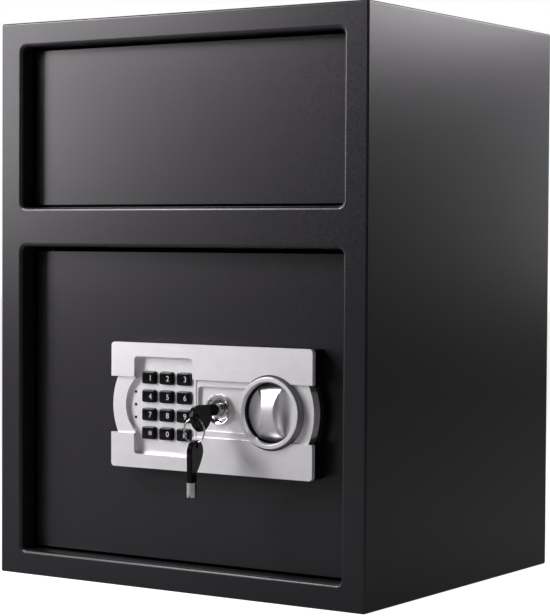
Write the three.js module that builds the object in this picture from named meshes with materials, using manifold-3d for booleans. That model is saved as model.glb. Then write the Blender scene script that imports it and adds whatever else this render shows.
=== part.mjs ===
// Drop safe with deposit drawer. Millimetres, +Z up.
// The origin is the centre of the cabinet's base. The front faces -Y, and +X is to the right of it.
// The drawer in the upper opening tilts out about a pin near its lower edge. The door in the lower
// opening is hinged at the left, and carries the lock, its bolts and the keypad.

import * as THREE from 'three';
import { mergeVertices } from 'three/addons/utils/BufferGeometryUtils.js';
import Module from 'manifold-3d';

const wasm = await Module();
wasm.setup();

// Values that every piece shares
const runningGap = 0.3;
const overrun = 1;
const fineSides = 40;
const coarseSides = 20;
const cornerSides = 2;
const quarterTurn = Math.PI / 2;
const fullTurn = Math.PI * 2;

// Cabinet
const cabinetWidth = 350;
const cabinetDepth = 300;
const cabinetHeight = 450;
const shellSheet = 4;
const frameSheet = 4;
const flangeSheet = 3;
const sideBorder = 21.5;
const topBorder = 20;
const bottomBorder = 20;
const middleBar = 32;
const drawerOpeningHeight = 130;
const openingCornerRadius = 4;
const anchorHoleRadius = 6;
const anchorSideInset = 75;
const anchorEndInset = 70;
const matSheet = 2;
const matEdgeGap = 5;

const halfWidth = cabinetWidth / 2;
const frontY = -cabinetDepth / 2;
const backY = cabinetDepth / 2;
const innerHalfWidth = halfWidth - shellSheet;
const frameBackY = frontY + frameSheet;
const innerBackY = backY - shellSheet;
const ceilingZ = cabinetHeight - shellSheet;
const openingHalfWidth = halfWidth - sideBorder;
const drawerOpeningTop = cabinetHeight - topBorder;
const drawerOpeningBottom = drawerOpeningTop - drawerOpeningHeight;
const doorOpeningTop = drawerOpeningBottom - middleBar;
const doorOpeningBottom = bottomBorder;

// Deposit drawer
const drawerRecess = 15;
const drawerSideGap = 2;
const drawerEndGap = 2;
const drawerSheet = 4;
const drawerCornerRadius = 2;
const pivotBehindFace = 10;
const pivotAboveEdge = 8;
const drawerOpenAngle = THREE.MathUtils.degToRad(40);
const hopperSlope = THREE.MathUtils.degToRad(25);
const hopperLength = 150;
const hopperSheet = 2;
const hopperWeldLip = 14;
const cheekInset = 1.5;
const cheekTopGap = 4;
const drawerPinRadius = 4;
const drawerCollarRadius = 5.5;
const drawerCollarLength = 3;
const drawerPinEndGap = 2;
const drawerBracketWall = 9;
const bracketFlangeGap = 1;
const baffleSheet = 2;
const baffleGap = 3.5;
const baffleToothGap = 4;
const baffleToothHeight = 12;
const baffleToothPitch = 19;

const drawerFaceY = frontY + drawerRecess;
const drawerHalfWidth = openingHalfWidth - drawerSideGap;
const drawerHeight = drawerOpeningHeight - drawerEndGap - drawerEndGap;
const pivotY = drawerFaceY + pivotBehindFace;
const pivotZ = drawerOpeningBottom + drawerEndGap + pivotAboveEdge;
const cheekOuterX = drawerHalfWidth - cheekInset;
const cheekInnerX = cheekOuterX - hopperSheet;

// Door
const doorRecess = 17;
const doorHingeGap = 3;
const doorFreeGap = 2.5;
const doorTopGap = 3.5;
const doorBottomGap = 2;
const doorSheet = 4;
const doorCornerRadius = 2;
const hingeInset = 9;
const hingeBehindFace = 9;
const hingePinRadius = 4;
const hingePinEndGap = 2;
const hingeBlockWidth = 14;
const hingeBlockHeight = 20;
const hingeBlockWall = 3;
const hingeBlockInset = 2;
const hingePinRoot = 2;
const hingeBracketSheet = 6;
const hingeBracketWall = 8;
const strikeFlangeGap = 1;
const strikeBoltGap = 1.5;
const strikeEndMargin = 24;

const doorFaceY = frontY + doorRecess;
const doorLeft = doorHingeGap - openingHalfWidth;
const doorRight = openingHalfWidth - doorFreeGap;
const doorBottom = doorOpeningBottom + doorBottomGap;
const doorTop = doorOpeningTop - doorTopGap;
const hingeX = doorLeft + hingeInset;

// Lock panel. Its pieces are placed from the centre of the panel, on the plane of the door's face.
const lockWidth = 188.8;
const lockHeight = 98.5;
const lockEdgeGap = 22.5;
const lockCentreShare = 0.5039;
const lockCornerRadius = 3;
const basePlate = 6;
const baseBarRise = 7;
const fasciaSheet = 4;
const bandHalfHeight = 22.2;
const bandDrop = 2.5;
const bandSagitta = 5;
const baseBulge = 3.5;
const keypadX = -43.6;
const keypadWidth = 56.4;
const keypadHeight = 77;
const keypadDepth = 6;
const keypadWall = 2;
const keypadFloor = 2;
const keypadCornerRadius = 3;
const keypadBulgeShare = 0.4425;
const keypadBulgeHalfHeight = 21.4;
const fitGap = 0.2;

const lockX = doorRight - lockEdgeGap - lockWidth / 2;
const lockZ = doorBottom + (doorTop - doorBottom) * lockCentreShare;
const baseFrontY = -basePlate - baseBarRise;
const barFrontY = baseFrontY - fasciaSheet;
const bandFrontY = barFrontY + bandDrop;
const keypadFloorY = barFrontY + keypadDepth;
const keypadLeft = keypadX - keypadWidth / 2;
const keypadRight = keypadX + keypadWidth / 2;
const keypadBulge = (keypadLeft + lockWidth / 2) * keypadBulgeShare;
const freeEdgeX = doorRight - lockX;

// Keypad buttons and lamps
const buttonColumns = 3;
const buttonRows = 4;
const buttonPitchX = 16.8;
const buttonPitchZ = 14.5;
const buttonWidth = 12.8;
const buttonHeight = 9.7;
const buttonRise = 3;
const buttonCornerRadius = 1.6;
const buttonCrown = 0.6;
const buttonLip = 0.8;
const buttonLipSheet = 1.2;
const buttonTravel = 1.2;
const lampRadius = 1;
const lampInsetShare = 0.26;
const lampPitch = 10;
const lampRise = 0.3;
const lampBarSheet = 1.2;
const lampBarGap = 1.4;

const lampX = keypadLeft - keypadBulge * lampInsetShare;

// Key lock
const barrelShare = 0.50913;
const barrelRadius = 7.5;
const barrelSink = 1;
const lockRecessHalfHeight = 17.2;
const lockRecessShare = 0.3304;
const lockRecessDepth = 2.5;
const escutcheonRadius = 11.6;
const escutcheonRise = 2.7;
const escutcheonRim = 1.2;
const escutcheonBevel = 0.4;
const keywayDepth = 12;
const tailRadius = 5;
const barrelBehindDoor = 4;
const liftCamRadius = 9;
const liftCamSheet = 2;
const liftCamBehindPlate = 4.6;
const liftCamSteps = 12;
const liftCamDwell = THREE.MathUtils.degToRad(10);

// Keys
const keyTubeRadius = 4;
const keyTubeWall = 1.2;
const keyTubeLength = 11;
const keyStandOff = 7.5;
const keyTurn = THREE.MathUtils.degToRad(-16);
const bowLength = 32;
const bowThickness = 4.5;
const bowNeckHalfWidth = 4.5;
const bowNeckLength = 7;
const bowHalfWidth = 10.25;
const bowOffset = 5.25;
const bowHoleFromEnd = 3.8;
const bowHoleOffset = 4;
const bowHoleRadius = 2.4;
const ringRadius = 9.4;
const ringWireRadius = 0.65;
const ringSeat = 0.7;
const spareSeat = 1.3;
const spareTurn = THREE.MathUtils.degToRad(9.5);

// Knob
const bezelEdgeMargin = 9;
const bezelRadius = 28.5;
const bezelDraft = 1.6;
const bezelFace = 3;
const bezelLip = 1;
const bezelLipDepth = 3;
const bezelRise = 6;
const knobWellDepth = 9.6;
const knobGap = 0.5;
const knobDisc = 2.4;
const knobGripHeight = 7.9;
const knobWaistHalfWidth = 5.8;
const knobEndHalfWidth = 8.8;
const knobWaistHalfHeight = 17;
const knobCrownDrop = 5.2;
const knobRadius = bezelRadius - bezelDraft - bezelFace - bezelLip - knobGap;
const spindleRadius = 4;

// Where the knob and the key lock stand on the panel
const knobX = lockWidth / 2 - bezelEdgeMargin - bezelRadius;
const barrelX = keypadRight + (knobX - bezelRadius - keypadRight) * barrelShare;
const lockRecessLeft = keypadRight + (barrelX - escutcheonRadius - keypadRight) * lockRecessShare;

// Bolt work behind the door
const boltStroke = 16;
const boltRadius = 8;
const boltSpacing = 100;
const boltTipInset = 1;
const guideInset = 6;
const guideSheet = 4;
const guideMargin = 16;
const guideDepthMargin = 4;
const coverToGuide = 4;
const slideGap = 0.5;
const carriageSheet = 4;
const carriageBarWidth = 12;
const carriageBarMargin = 11;
const carriageArmHalfHeight = 16;
const carriageArmLift = 6;
const carriageBehindPlate = 9;
const camSheet = 4;
const camRim = 1;
const camCarriageGap = 1;
const crankPinRadius = 3;
const crankPinProud = 1.5;
const crankSlotGap = 0.8;
const plungerShare = 0.64;
const plungerRadius = 3.5;
const plungerLength = 30;
const plungerCollarRadius = 6;
const plungerCollarSheet = 2;
const plungerCollarRise = 3;
const plungerLift = 3;
const liftArmHeight = 4;
const liftArmSheet = 4;
const liftFootHalfWidth = 4;
const liftFootGap = 0.5;
const notchGap = 0.6;
const notchDepth = 6;
const notchEndWall = 3;
const solenoidWidth = 20;
const solenoidDepth = 22;
const solenoidHeight = 32;
const solenoidCollarGap = 2;
const solenoidBoreDepth = 26;

const guideRight = freeEdgeX - guideInset;
const guideLeft = guideRight - guideSheet;
const coverRight = guideLeft - coverToGuide;
const plungerX = barrelX + (knobX - barrelX) * plungerShare;
const carriageY = doorSheet + carriageBehindPlate;
const boltY = carriageY + carriageSheet / 2;
const crankThrow = boltStroke / Math.SQRT2;
const crankOffset = crankThrow / Math.SQRT2;
const armTop = carriageArmHalfHeight + carriageArmLift;
const armBottom = carriageArmLift - carriageArmHalfHeight;

// Cover, battery box and board behind the door
const coverWall = 1.5;
const coverDepth = 39;
const coverHeight = 146;
const coverLeftMargin = 6;
const coverBoltGap = 1;
const batteryEdgeGap = 4.6;
const batteryCells = 4;
const cellRadius = 7.1;
const cellOverlap = 0.4;
const cellLength = 50.5;
const holderWall = 1.5;
const holderSideGap = 1;
const holderEndGap = 5;
const holderFloorGap = 0.5;
const holderRim = 2;
const batteryDoorSheet = 1.6;
const railWidth = 3;
const railLip = 2;
const railSheet = 1.2;
const resetX = -8;
const resetZ = 50;
const resetRadius = 4;
const resetLength = 8;
const resetRise = 3;
const boardSheet = 1.6;
const boardStandOff = 5;
const boardPostRadius = 3;
const boardPostInset = 8;
const boardBarrelMargin = 7.5;
const boardEdgeGap = 3;
const boardEndGap = 12;
const boardBarrelGap = 1;

const coverLeft = -lockWidth / 2 - coverLeftMargin;
const coverBackY = doorSheet + coverDepth;
const coverInnerBackY = coverBackY - coverWall;
const coverInnerRight = coverRight - coverWall;
const carriageRight = coverInnerRight - boltStroke - slideGap;
const carriageBarLeft = carriageRight - carriageBarWidth;
const boardRight = barrelX + barrelRadius + boardBarrelMargin;
const cellPitch = cellRadius + cellRadius - cellOverlap;
const cellPackWidth = cellPitch * (batteryCells - 1) + cellRadius * 2;
const holderHalfWidth = cellPackWidth / 2 + holderSideGap + holderWall;
const holderHalfHeight = cellLength / 2 + holderEndGap + holderWall;
const batteryX = coverLeft + coverWall + batteryEdgeGap + holderHalfWidth;
const holderDepth = cellRadius * 2 + holderFloorGap * 2 + holderWall;

// Geometry helpers

function toSolid(geometry) {
  const bare = geometry.clone();
  bare.deleteAttribute('normal');
  bare.deleteAttribute('uv');
  const merged = mergeVertices(bare);
  return new wasm.Manifold(new wasm.Mesh({
    numProp: 3,
    vertProperties: merged.attributes.position.array,
    triVerts: new Uint32Array(merged.index.array),
  }));
}

function toGeometry(solid) {
  const mesh = solid.getMesh();
  const geometry = new THREE.BufferGeometry();
  geometry.setAttribute('position', new THREE.BufferAttribute(mesh.vertProperties, 3));
  geometry.setIndex(new THREE.BufferAttribute(mesh.triVerts, 1));
  return geometry;
}

function join(...geometries) {
  return toGeometry(geometries.map(toSolid).reduce((whole, next) => whole.add(next)));
}

function cut(geometry, ...tools) {
  return toGeometry(tools.map(toSolid).reduce((whole, next) => whole.subtract(next), toSolid(geometry)));
}

// The space that two solids share
function shared(geometry, other) {
  return toGeometry(toSolid(geometry).intersect(toSolid(other)));
}

// A box between two values on each axis
function block([x0, x1], [y0, y1], [z0, z1]) {
  const geometry = new THREE.BoxGeometry(x1 - x0, y1 - y0, z1 - z0);
  return geometry.translate((x0 + x1) / 2, (y0 + y1) / 2, (z0 + z1) / 2);
}

// A plate whose outline is drawn in x and z
function plateInXZ(shape, y0, y1) {
  const geometry = new THREE.ExtrudeGeometry(shape, {
    depth: y1 - y0, bevelEnabled: false, curveSegments: cornerSides,
  });
  return geometry.rotateX(quarterTurn).translate(0, y1, 0);
}

// A plate whose outline is drawn in y and z
function plateInYZ(shape, x0, x1, curveSegments = cornerSides) {
  const geometry = new THREE.ExtrudeGeometry(shape, { depth: x1 - x0, bevelEnabled: false, curveSegments });
  const turn = new THREE.Matrix4().makeBasis(
    new THREE.Vector3(0, 1, 0), new THREE.Vector3(0, 0, 1), new THREE.Vector3(1, 0, 0),
  );
  return geometry.applyMatrix4(turn).translate(x0, 0, 0);
}

// A plate whose outline is drawn in x and y
function plateInXY(shape, z0, z1) {
  const geometry = new THREE.ExtrudeGeometry(shape, {
    depth: z1 - z0, bevelEnabled: false, curveSegments: cornerSides,
  });
  return geometry.translate(0, 0, z0);
}

function rodAlongX(radius, x0, x1, y, z, sides = coarseSides) {
  const geometry = new THREE.CylinderGeometry(radius, radius, x1 - x0, sides);
  return geometry.rotateZ(-quarterTurn).translate((x0 + x1) / 2, y, z);
}

function rodAlongY(radius, y0, y1, x, z, sides = coarseSides) {
  return new THREE.CylinderGeometry(radius, radius, y1 - y0, sides).translate(x, (y0 + y1) / 2, z);
}

function rodAlongZ(radius, z0, z1, x, y, sides = coarseSides) {
  const geometry = new THREE.CylinderGeometry(radius, radius, z1 - z0, sides);
  return geometry.rotateX(quarterTurn).translate(x, y, (z0 + z1) / 2);
}

// A piece turned about the y axis, from pairs of radius and y that run up the outside
function turnedAboutY(profile, sides = fineSides) {
  return new THREE.LatheGeometry(profile.map(([radius, y]) => new THREE.Vector2(radius, y)), sides);
}

function polygon(points) {
  return new THREE.Shape(points.map(([u, v]) => new THREE.Vector2(u, v)));
}

function roundedRectangle([u0, u1], [v0, v1], radius) {
  const shape = new THREE.Shape();
  shape.absarc(u1 - radius, v0 + radius, radius, -quarterTurn, 0);
  shape.absarc(u1 - radius, v1 - radius, radius, 0, quarterTurn);
  shape.absarc(u0 + radius, v1 - radius, radius, quarterTurn, quarterTurn * 2);
  shape.absarc(u0 + radius, v0 + radius, radius, quarterTurn * 2, quarterTurn * 3);
  shape.closePath();
  return shape;
}

function hole(u, v, radius, sides = coarseSides) {
  const corners = Array.from({ length: sides }, (_, corner) => {
    const angle = fullTurn * corner / sides;
    return new THREE.Vector2(u + radius * Math.cos(angle), v + radius * Math.sin(angle));
  });
  return new THREE.Path(corners);
}

// The radius of an arc from half its chord and its sagitta
function arcRadius(halfChord, sagitta) {
  return (halfChord ** 2 + sagitta ** 2) / (2 * sagitta);
}

// A strip between two levels whose two ends are arcs that swell by the sagitta
function bulgedStrip(u0, u1, halfHeight, sagitta) {
  const radius = arcRadius(halfHeight, sagitta);
  const sweep = Math.asin(halfHeight / radius);
  const corners = [];
  for (const [centre, facing] of [[u1 - radius, 0], [u0 + radius, quarterTurn * 2]]) {
    for (let step = 0; step <= coarseSides; step += 1) {
      const angle = facing - sweep + 2 * sweep * step / coarseSides;
      corners.push([centre + radius * Math.cos(angle), radius * Math.sin(angle)]);
    }
  }
  return polygon(corners);
}

// Materials
function finish(color, roughness, metalness) {
  return () => new THREE.MeshStandardMaterial({ color, roughness, metalness });
}
const blackPaint = finish(0x1b1b1d, 0.45, 0.1);
const silverFinish = finish(0xc9c9cb, 0.35, 0.7);
const blackPlastic = finish(0x101012, 0.3, 0);
const chromeFinish = finish(0xd8d8da, 0.12, 1);
const brushedSteel = finish(0xb4b4b6, 0.4, 1);
const zincFinish = finish(0x9a9c9e, 0.5, 0.9);
const greyFelt = finish(0x4a4a4c, 0.95, 0);
const greenBoard = finish(0x1f5a34, 0.6, 0);
const cellWrap = finish(0x6f7376, 0.45, 0.2);
const lampPlastic = finish(0x2a2a2c, 0.2, 0);

function piece(name, geometry, makeMaterial) {
  const mesh = new THREE.Mesh(geometry, makeMaterial());
  mesh.name = name;
  return mesh;
}

function groupAt(x, y, z, ...children) {
  const group = new THREE.Group();
  group.position.set(x, y, z);
  group.add(...children);
  return group;
}

// Cabinet shell

function sidePanel(name, x0, x1) {
  return piece(name, block([x0, x1], [frameBackY, innerBackY], [0, cabinetHeight]), blackPaint);
}

function topPanel() {
  const spanX = [-innerHalfWidth, innerHalfWidth];
  return piece('top_panel', block(spanX, [frameBackY, innerBackY], [ceilingZ, cabinetHeight]), blackPaint);
}

function basePanel() {
  const spanX = [-innerHalfWidth, innerHalfWidth];
  const anchorX = innerHalfWidth - anchorSideInset;
  const anchorY = innerBackY - anchorEndInset;
  const plate = polygon([
    [spanX[0], frameBackY], [spanX[1], frameBackY], [spanX[1], innerBackY], [spanX[0], innerBackY],
  ]);
  for (const x of [-anchorX, anchorX]) {
    for (const y of [-anchorY, anchorY]) plate.holes.push(hole(x, y, anchorHoleRadius));
  }
  return piece('base_panel', plateInXY(plate, 0, shellSheet), blackPaint);
}

function backPanel() {
  const plate = polygon([
    [-halfWidth, 0], [halfWidth, 0], [halfWidth, cabinetHeight], [-halfWidth, cabinetHeight],
  ]);
  const anchorX = innerHalfWidth - anchorSideInset;
  for (const x of [-anchorX, anchorX]) {
    for (const z of [anchorEndInset, cabinetHeight - anchorEndInset]) {
      plate.holes.push(hole(x, z, anchorHoleRadius));
    }
  }
  return piece('back_panel', plateInXZ(plate, innerBackY, backY), blackPaint);
}

function openingFlange(bottom, top, recess) {
  const outer = roundedRectangle(
    [-openingHalfWidth - flangeSheet, openingHalfWidth + flangeSheet],
    [bottom - flangeSheet, top + flangeSheet],
    openingCornerRadius + flangeSheet,
  );
  outer.holes.push(roundedRectangle([-openingHalfWidth, openingHalfWidth], [bottom, top], openingCornerRadius));
  return plateInXZ(outer, frontY, frontY + recess);
}

// The front plate, with a flange folded back round the drawer's opening and the door's
function frontFrame() {
  const plate = polygon([
    [-halfWidth, 0], [halfWidth, 0], [halfWidth, cabinetHeight], [-halfWidth, cabinetHeight],
  ]);
  for (const [bottom, top] of [
    [drawerOpeningBottom, drawerOpeningTop], [doorOpeningBottom, doorOpeningTop],
  ]) {
    plate.holes.push(
      roundedRectangle([-openingHalfWidth, openingHalfWidth], [bottom, top], openingCornerRadius),
    );
  }
  return piece('front_frame', join(
    plateInXZ(plate, frontY, frameBackY),
    openingFlange(drawerOpeningBottom, drawerOpeningTop, drawerRecess),
    openingFlange(doorOpeningBottom, doorOpeningTop, doorRecess),
  ), blackPaint);
}

function floorMat() {
  const edgeX = innerHalfWidth - matEdgeGap;
  const spanY = [frameBackY + matEdgeGap, innerBackY - matEdgeGap];
  return piece('floor_mat', block([-edgeX, edgeX], spanY, [shellSheet, shellSheet + matSheet]), greyFelt);
}

// Upper and lower hinge brackets: a plate across the corner behind the frame, with a hole for the pin
function hingeBracket(name, z0, z1) {
  const reachX = hingeX + hingePinRadius + hingeBracketWall;
  const reachY = doorFaceY + hingeBehindFace + hingePinRadius + hingeBracketWall;
  const plate = polygon([
    [-innerHalfWidth, frameBackY], [reachX, frameBackY], [reachX, reachY], [-innerHalfWidth, reachY],
  ]);
  plate.holes.push(hole(hingeX, doorFaceY + hingeBehindFace, hingePinRadius + runningGap));
  return piece(name, plateInXY(plate, z0, z1), blackPaint);
}

// The bar behind the right border that the bolts shoot behind
function strikeBar() {
  const left = openingHalfWidth + flangeSheet + strikeFlangeGap;
  const back = doorFaceY + boltY - boltRadius - strikeBoltGap;
  const half = boltSpacing / 2 + strikeEndMargin;
  return piece('strike_bar', block(
    [left, innerHalfWidth], [frameBackY, back], [lockZ - half, lockZ + half],
  ), blackPaint);
}

function drawerBracket(name, side) {
  const y1 = pivotY + drawerPinRadius + drawerBracketWall;
  const reachZ = drawerPinRadius + drawerBracketWall;
  const plate = polygon([
    [frameBackY, pivotZ - reachZ], [y1, pivotZ - reachZ], [y1, pivotZ + reachZ], [frameBackY, pivotZ + reachZ],
  ]);
  plate.holes.push(hole(pivotY, pivotZ, drawerPinRadius + runningGap));
  const inner = openingHalfWidth + flangeSheet + bracketFlangeGap;
  const [x0, x1] = side > 0 ? [inner, innerHalfWidth] : [-innerHalfWidth, -inner];
  return piece(name, plateInYZ(plate, x0, x1), blackPaint);
}

// Hopper section, in y and z from the drawer's pivot
const panelBackY = drawerSheet - pivotBehindFace;
const slopeY = Math.cos(hopperSlope);
const slopeZ = -Math.sin(hopperSlope);
const bendTop = [panelBackY + hopperSheet, -hopperSheet];
const floorEnd = [bendTop[0] + slopeY * hopperLength, bendTop[1] + slopeZ * hopperLength];
const floorReach = Math.hypot(floorEnd[0], floorEnd[1]);

// A point on the underside of the hopper floor at a distance along it from the weld lip's corner
function underside(distance) {
  return [
    bendTop[0] + slopeZ * hopperSheet + slopeY * distance,
    bendTop[1] - slopeY * hopperSheet + slopeZ * distance,
  ];
}
const undersideFront = underside((panelBackY - underside(0)[0]) / slopeY);

// The saw-toothed sheet that hangs behind the hopper, so nothing can be fished out over its floor
function antiFishingBaffle() {
  const y0 = pivotY + floorReach + baffleGap;
  const openEndZ = pivotZ + floorReach * Math.sin(
    Math.atan2(floorEnd[1], floorEnd[0]) + drawerOpenAngle,
  );
  const toothTip = openEndZ + baffleToothGap;
  const toothRoot = toothTip + baffleToothHeight;
  const teeth = Math.floor(innerHalfWidth * 2 / baffleToothPitch);
  const pitch = innerHalfWidth * 2 / teeth;
  const points = [[innerHalfWidth, ceilingZ], [-innerHalfWidth, ceilingZ], [-innerHalfWidth, toothRoot]];
  for (let tooth = 0; tooth < teeth; tooth += 1) {
    const start = pitch * tooth - innerHalfWidth;
    points.push([start + pitch / 2, toothTip], [start + pitch, toothRoot]);
  }
  return piece('anti_fishing_baffle', plateInXZ(polygon(points), y0, y0 + baffleSheet), blackPaint);
}

// Deposit drawer, placed from its pivot

function drawerFront() {
  const shape = roundedRectangle(
    [-drawerHalfWidth, drawerHalfWidth], [-pivotAboveEdge, drawerHeight - pivotAboveEdge], drawerCornerRadius,
  );
  return piece('drawer_front', plateInXZ(shape, -pivotBehindFace, panelBackY), blackPaint);
}

function hopperFloor() {
  const shape = polygon([
    [panelBackY, hopperWeldLip], undersideFront, underside(hopperLength), floorEnd,
    bendTop, [bendTop[0], hopperWeldLip],
  ]);
  return piece('hopper_floor', plateInYZ(shape, -cheekInnerX, cheekInnerX), blackPaint);
}

function hopperCheek(name, x0, x1) {
  const radius = drawerHeight - pivotAboveEdge - cheekTopGap;
  const start = underside(0);
  const along = start[0] * slopeY + start[1] * slopeZ;
  const reach = Math.sqrt(along ** 2 - start[0] ** 2 - start[1] ** 2 + radius ** 2) - along;
  const [cornerY, cornerZ] = underside(reach);
  const shape = new THREE.Shape();
  shape.moveTo(...undersideFront);
  shape.lineTo(cornerY, cornerZ);
  shape.absarc(0, 0, radius, Math.atan2(cornerZ, cornerY), Math.acos(panelBackY / radius));
  shape.closePath();
  return piece(name, plateInYZ(shape, x0, x1, coarseSides / 2), blackPaint);
}

function drawerPin(name, side) {
  const end = innerHalfWidth - drawerPinEndGap;
  const shoulder = cheekOuterX + drawerCollarLength;
  const middle = (cheekOuterX + shoulder) / 2;
  const geometry = side > 0
    ? join(
      rodAlongX(drawerCollarRadius, cheekOuterX, shoulder, 0, 0), rodAlongX(drawerPinRadius, middle, end, 0, 0),
    )
    : join(
      rodAlongX(drawerCollarRadius, -shoulder, -cheekOuterX, 0, 0),
      rodAlongX(drawerPinRadius, -end, -middle, 0, 0),
    );
  return piece(name, geometry, zincFinish);
}

// Door, placed from the plane of its face

function doorPlate() {
  const shape = roundedRectangle([doorLeft, doorRight], [doorBottom, doorTop], doorCornerRadius);
  shape.holes.push(
    hole(lockX + knobX, lockZ, spindleRadius + slideGap), hole(lockX + barrelX, lockZ, barrelRadius + slideGap),
  );
  return piece('door_plate', plateInXZ(shape, 0, doorSheet), blackPaint);
}

// A block welded behind the door's corner, with its pin reaching into the bracket
function hingeBlock(name, z0, z1, pinZ0, pinZ1) {
  const x0 = hingeX - hingeBlockWidth / 2;
  const back = hingeBehindFace + hingePinRadius + hingeBlockWall;
  return piece(name, join(
    block([x0, x0 + hingeBlockWidth], [doorSheet, back], [z0, z1]),
    rodAlongZ(hingePinRadius, pinZ0, pinZ1, hingeX, hingeBehindFace),
  ), blackPaint);
}

// Lock panel

function keypadOutline(extra) {
  return roundedRectangle(
    [keypadX - keypadWidth / 2 - extra, keypadX + keypadWidth / 2 + extra],
    [-keypadHeight / 2 - extra, keypadHeight / 2 + extra],
    keypadCornerRadius + extra,
  );
}

function lockBase() {
  const half = lockWidth / 2;
  const outline = [[-half, half], [-lockHeight / 2, lockHeight / 2]];
  const bars = cut(
    plateInXZ(roundedRectangle(...outline, lockCornerRadius), baseFrontY, -basePlate),
    block([-half - overrun, half + overrun], [baseFrontY - overrun, -basePlate],
      [-bandHalfHeight - fitGap, bandHalfHeight + fitGap]),
    plateInXZ(keypadOutline(keypadWall + fitGap), baseFrontY - overrun, -basePlate),
    rodAlongY(bezelRadius + fitGap, baseFrontY - overrun, -basePlate, knobX, 0, fineSides),
  );
  const bulges = bulgedStrip(-half - baseBulge, half + baseBulge, bandHalfHeight, bandSagitta);
  return piece('lock_base', cut(
    join(plateInXZ(roundedRectangle(...outline, lockCornerRadius), -basePlate, 0),
      plateInXZ(bulges, -basePlate, 0), bars),
    rodAlongY(spindleRadius + slideGap, -basePlate - overrun, overrun, knobX, 0),
    rodAlongY(barrelRadius + slideGap, -basePlate - overrun, overrun, barrelX, 0),
  ), blackPlastic);
}

function keypadBulgeOutline() {
  return bulgedStrip(keypadLeft - keypadBulge, keypadX, keypadBulgeHalfHeight, keypadBulge);
}

function buttonCentres() {
  const centres = [];
  for (let row = 0; row < buttonRows; row += 1) {
    for (let column = 0; column < buttonColumns; column += 1) {
      centres.push([
        keypadX + (column - (buttonColumns - 1) / 2) * buttonPitchX,
        ((buttonRows - 1) / 2 - row) * buttonPitchZ,
      ]);
    }
  }
  return centres;
}

function lampCentres() {
  return [lampPitch, 0, -lampPitch].map((z) => [lampX, z]);
}

function lockFascia() {
  const half = lockWidth / 2;
  const spanX = [-half, half];
  const faceplate = cut(
    plateInXZ(roundedRectangle(spanX, [-lockHeight / 2, lockHeight / 2], lockCornerRadius),
      barFrontY, baseFrontY),
    block([-half - overrun, half + overrun], [barFrontY - overrun, baseFrontY + overrun],
      [-bandHalfHeight, bandHalfHeight]),
  );
  const band = plateInXZ(bulgedStrip(...spanX, bandHalfHeight, bandSagitta), bandFrontY, -basePlate);
  const pan = plateInXZ(keypadOutline(keypadWall), baseFrontY - keypadFloor, keypadFloorY + keypadFloor);
  const pocketLeft = lampX - lampRadius - lampBarGap;
  const pocketHalf = buttonPitchZ * (buttonRows - 1) / 2 + buttonHeight / 2 + buttonLip + slideGap;
  const buttonHoles = buttonCentres().map(([x, z]) => plateInXZ(
    buttonOutline(x, z, runningGap), keypadFloorY - overrun, keypadFloorY + keypadFloor + overrun,
  ));
  const lampHoles = lampCentres().map(([x, z]) => rodAlongY(
    lampRadius + runningGap, keypadFloorY - overrun, keypadFloorY + keypadFloor + overrun, x, z,
  ));
  return piece('lock_fascia', cut(
    join(faceplate, band, pan),
    plateInXZ(keypadOutline(0), barFrontY - overrun, keypadFloorY),
    plateInXZ(keypadBulgeOutline(), barFrontY - overrun, keypadFloorY),
    block([pocketLeft, keypadRight], [keypadFloorY + keypadFloor, overrun], [-pocketHalf, pocketHalf]),
    plateInXZ(roundedRectangle([lockRecessLeft, knobX], [-lockRecessHalfHeight, lockRecessHalfHeight],
      keypadCornerRadius), bandFrontY - overrun, bandFrontY + lockRecessDepth),
    rodAlongY(barrelRadius + slideGap, barFrontY, overrun, barrelX, 0),
    rodAlongY(bezelRadius + fitGap, barFrontY - overrun, overrun, knobX, 0, fineSides),
    ...buttonHoles,
    ...lampHoles,
  ), silverFinish);
}

function buttonOutline(x, z, extra) {
  return roundedRectangle(
    [x - buttonWidth / 2 - extra, x + buttonWidth / 2 + extra],
    [z - buttonHeight / 2 - extra, z + buttonHeight / 2 + extra],
    buttonCornerRadius + extra,
  );
}

// A button with a crowned top, and a lip behind the panel that keeps it in
function keypadButton(index, [x, z]) {
  const frontFace = keypadFloorY - buttonRise;
  const lipFront = keypadFloorY + keypadFloor + runningGap;
  return piece(`button_${index}`, join(
    plateInXZ(buttonOutline(x, z, -buttonCrown), frontFace, lipFront),
    plateInXZ(buttonOutline(x, z, 0), frontFace + buttonCrown, lipFront),
    plateInXZ(buttonOutline(x, z, buttonLip), lipFront, lipFront + buttonLipSheet),
  ), blackPlastic);
}

// Three lamps on one moulded light pipe
function lampLightPipe() {
  const barFront = keypadFloorY + keypadFloor + runningGap;
  const centres = lampCentres();
  const [x] = centres[0];
  return piece('lamp_light_pipe', join(
    block([x - lampRadius, x + lampRadius], [barFront, barFront + lampBarSheet],
      [-lampPitch - lampRadius, lampPitch + lampRadius]),
    ...centres.map(([lampX, lampZ]) => rodAlongY(
      lampRadius, keypadFloorY - lampRise, barFront + lampBarSheet / 2, lampX, lampZ,
    )),
  ), lampPlastic);
}

// A ring round the knob, with a floor that the knob turns on. Its flat face has a sloping lip inside and
// a tapered side outside.
function knobBezel() {
  const rimY = bandFrontY - bezelRise;
  const floorY = rimY + knobWellDepth;
  const wall = knobRadius + knobGap;
  return piece('knob_bezel', turnedAboutY([
    [spindleRadius + runningGap, floorY],
    [wall, floorY],
    [wall, rimY + bezelLipDepth],
    [wall + bezelLip, rimY],
    [bezelRadius - bezelDraft, rimY],
    [bezelRadius, bandFrontY],
    [bezelRadius, -basePlate],
    [spindleRadius + runningGap, -basePlate],
    [spindleRadius + runningGap, floorY],
  ]), silverFinish);
}

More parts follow.
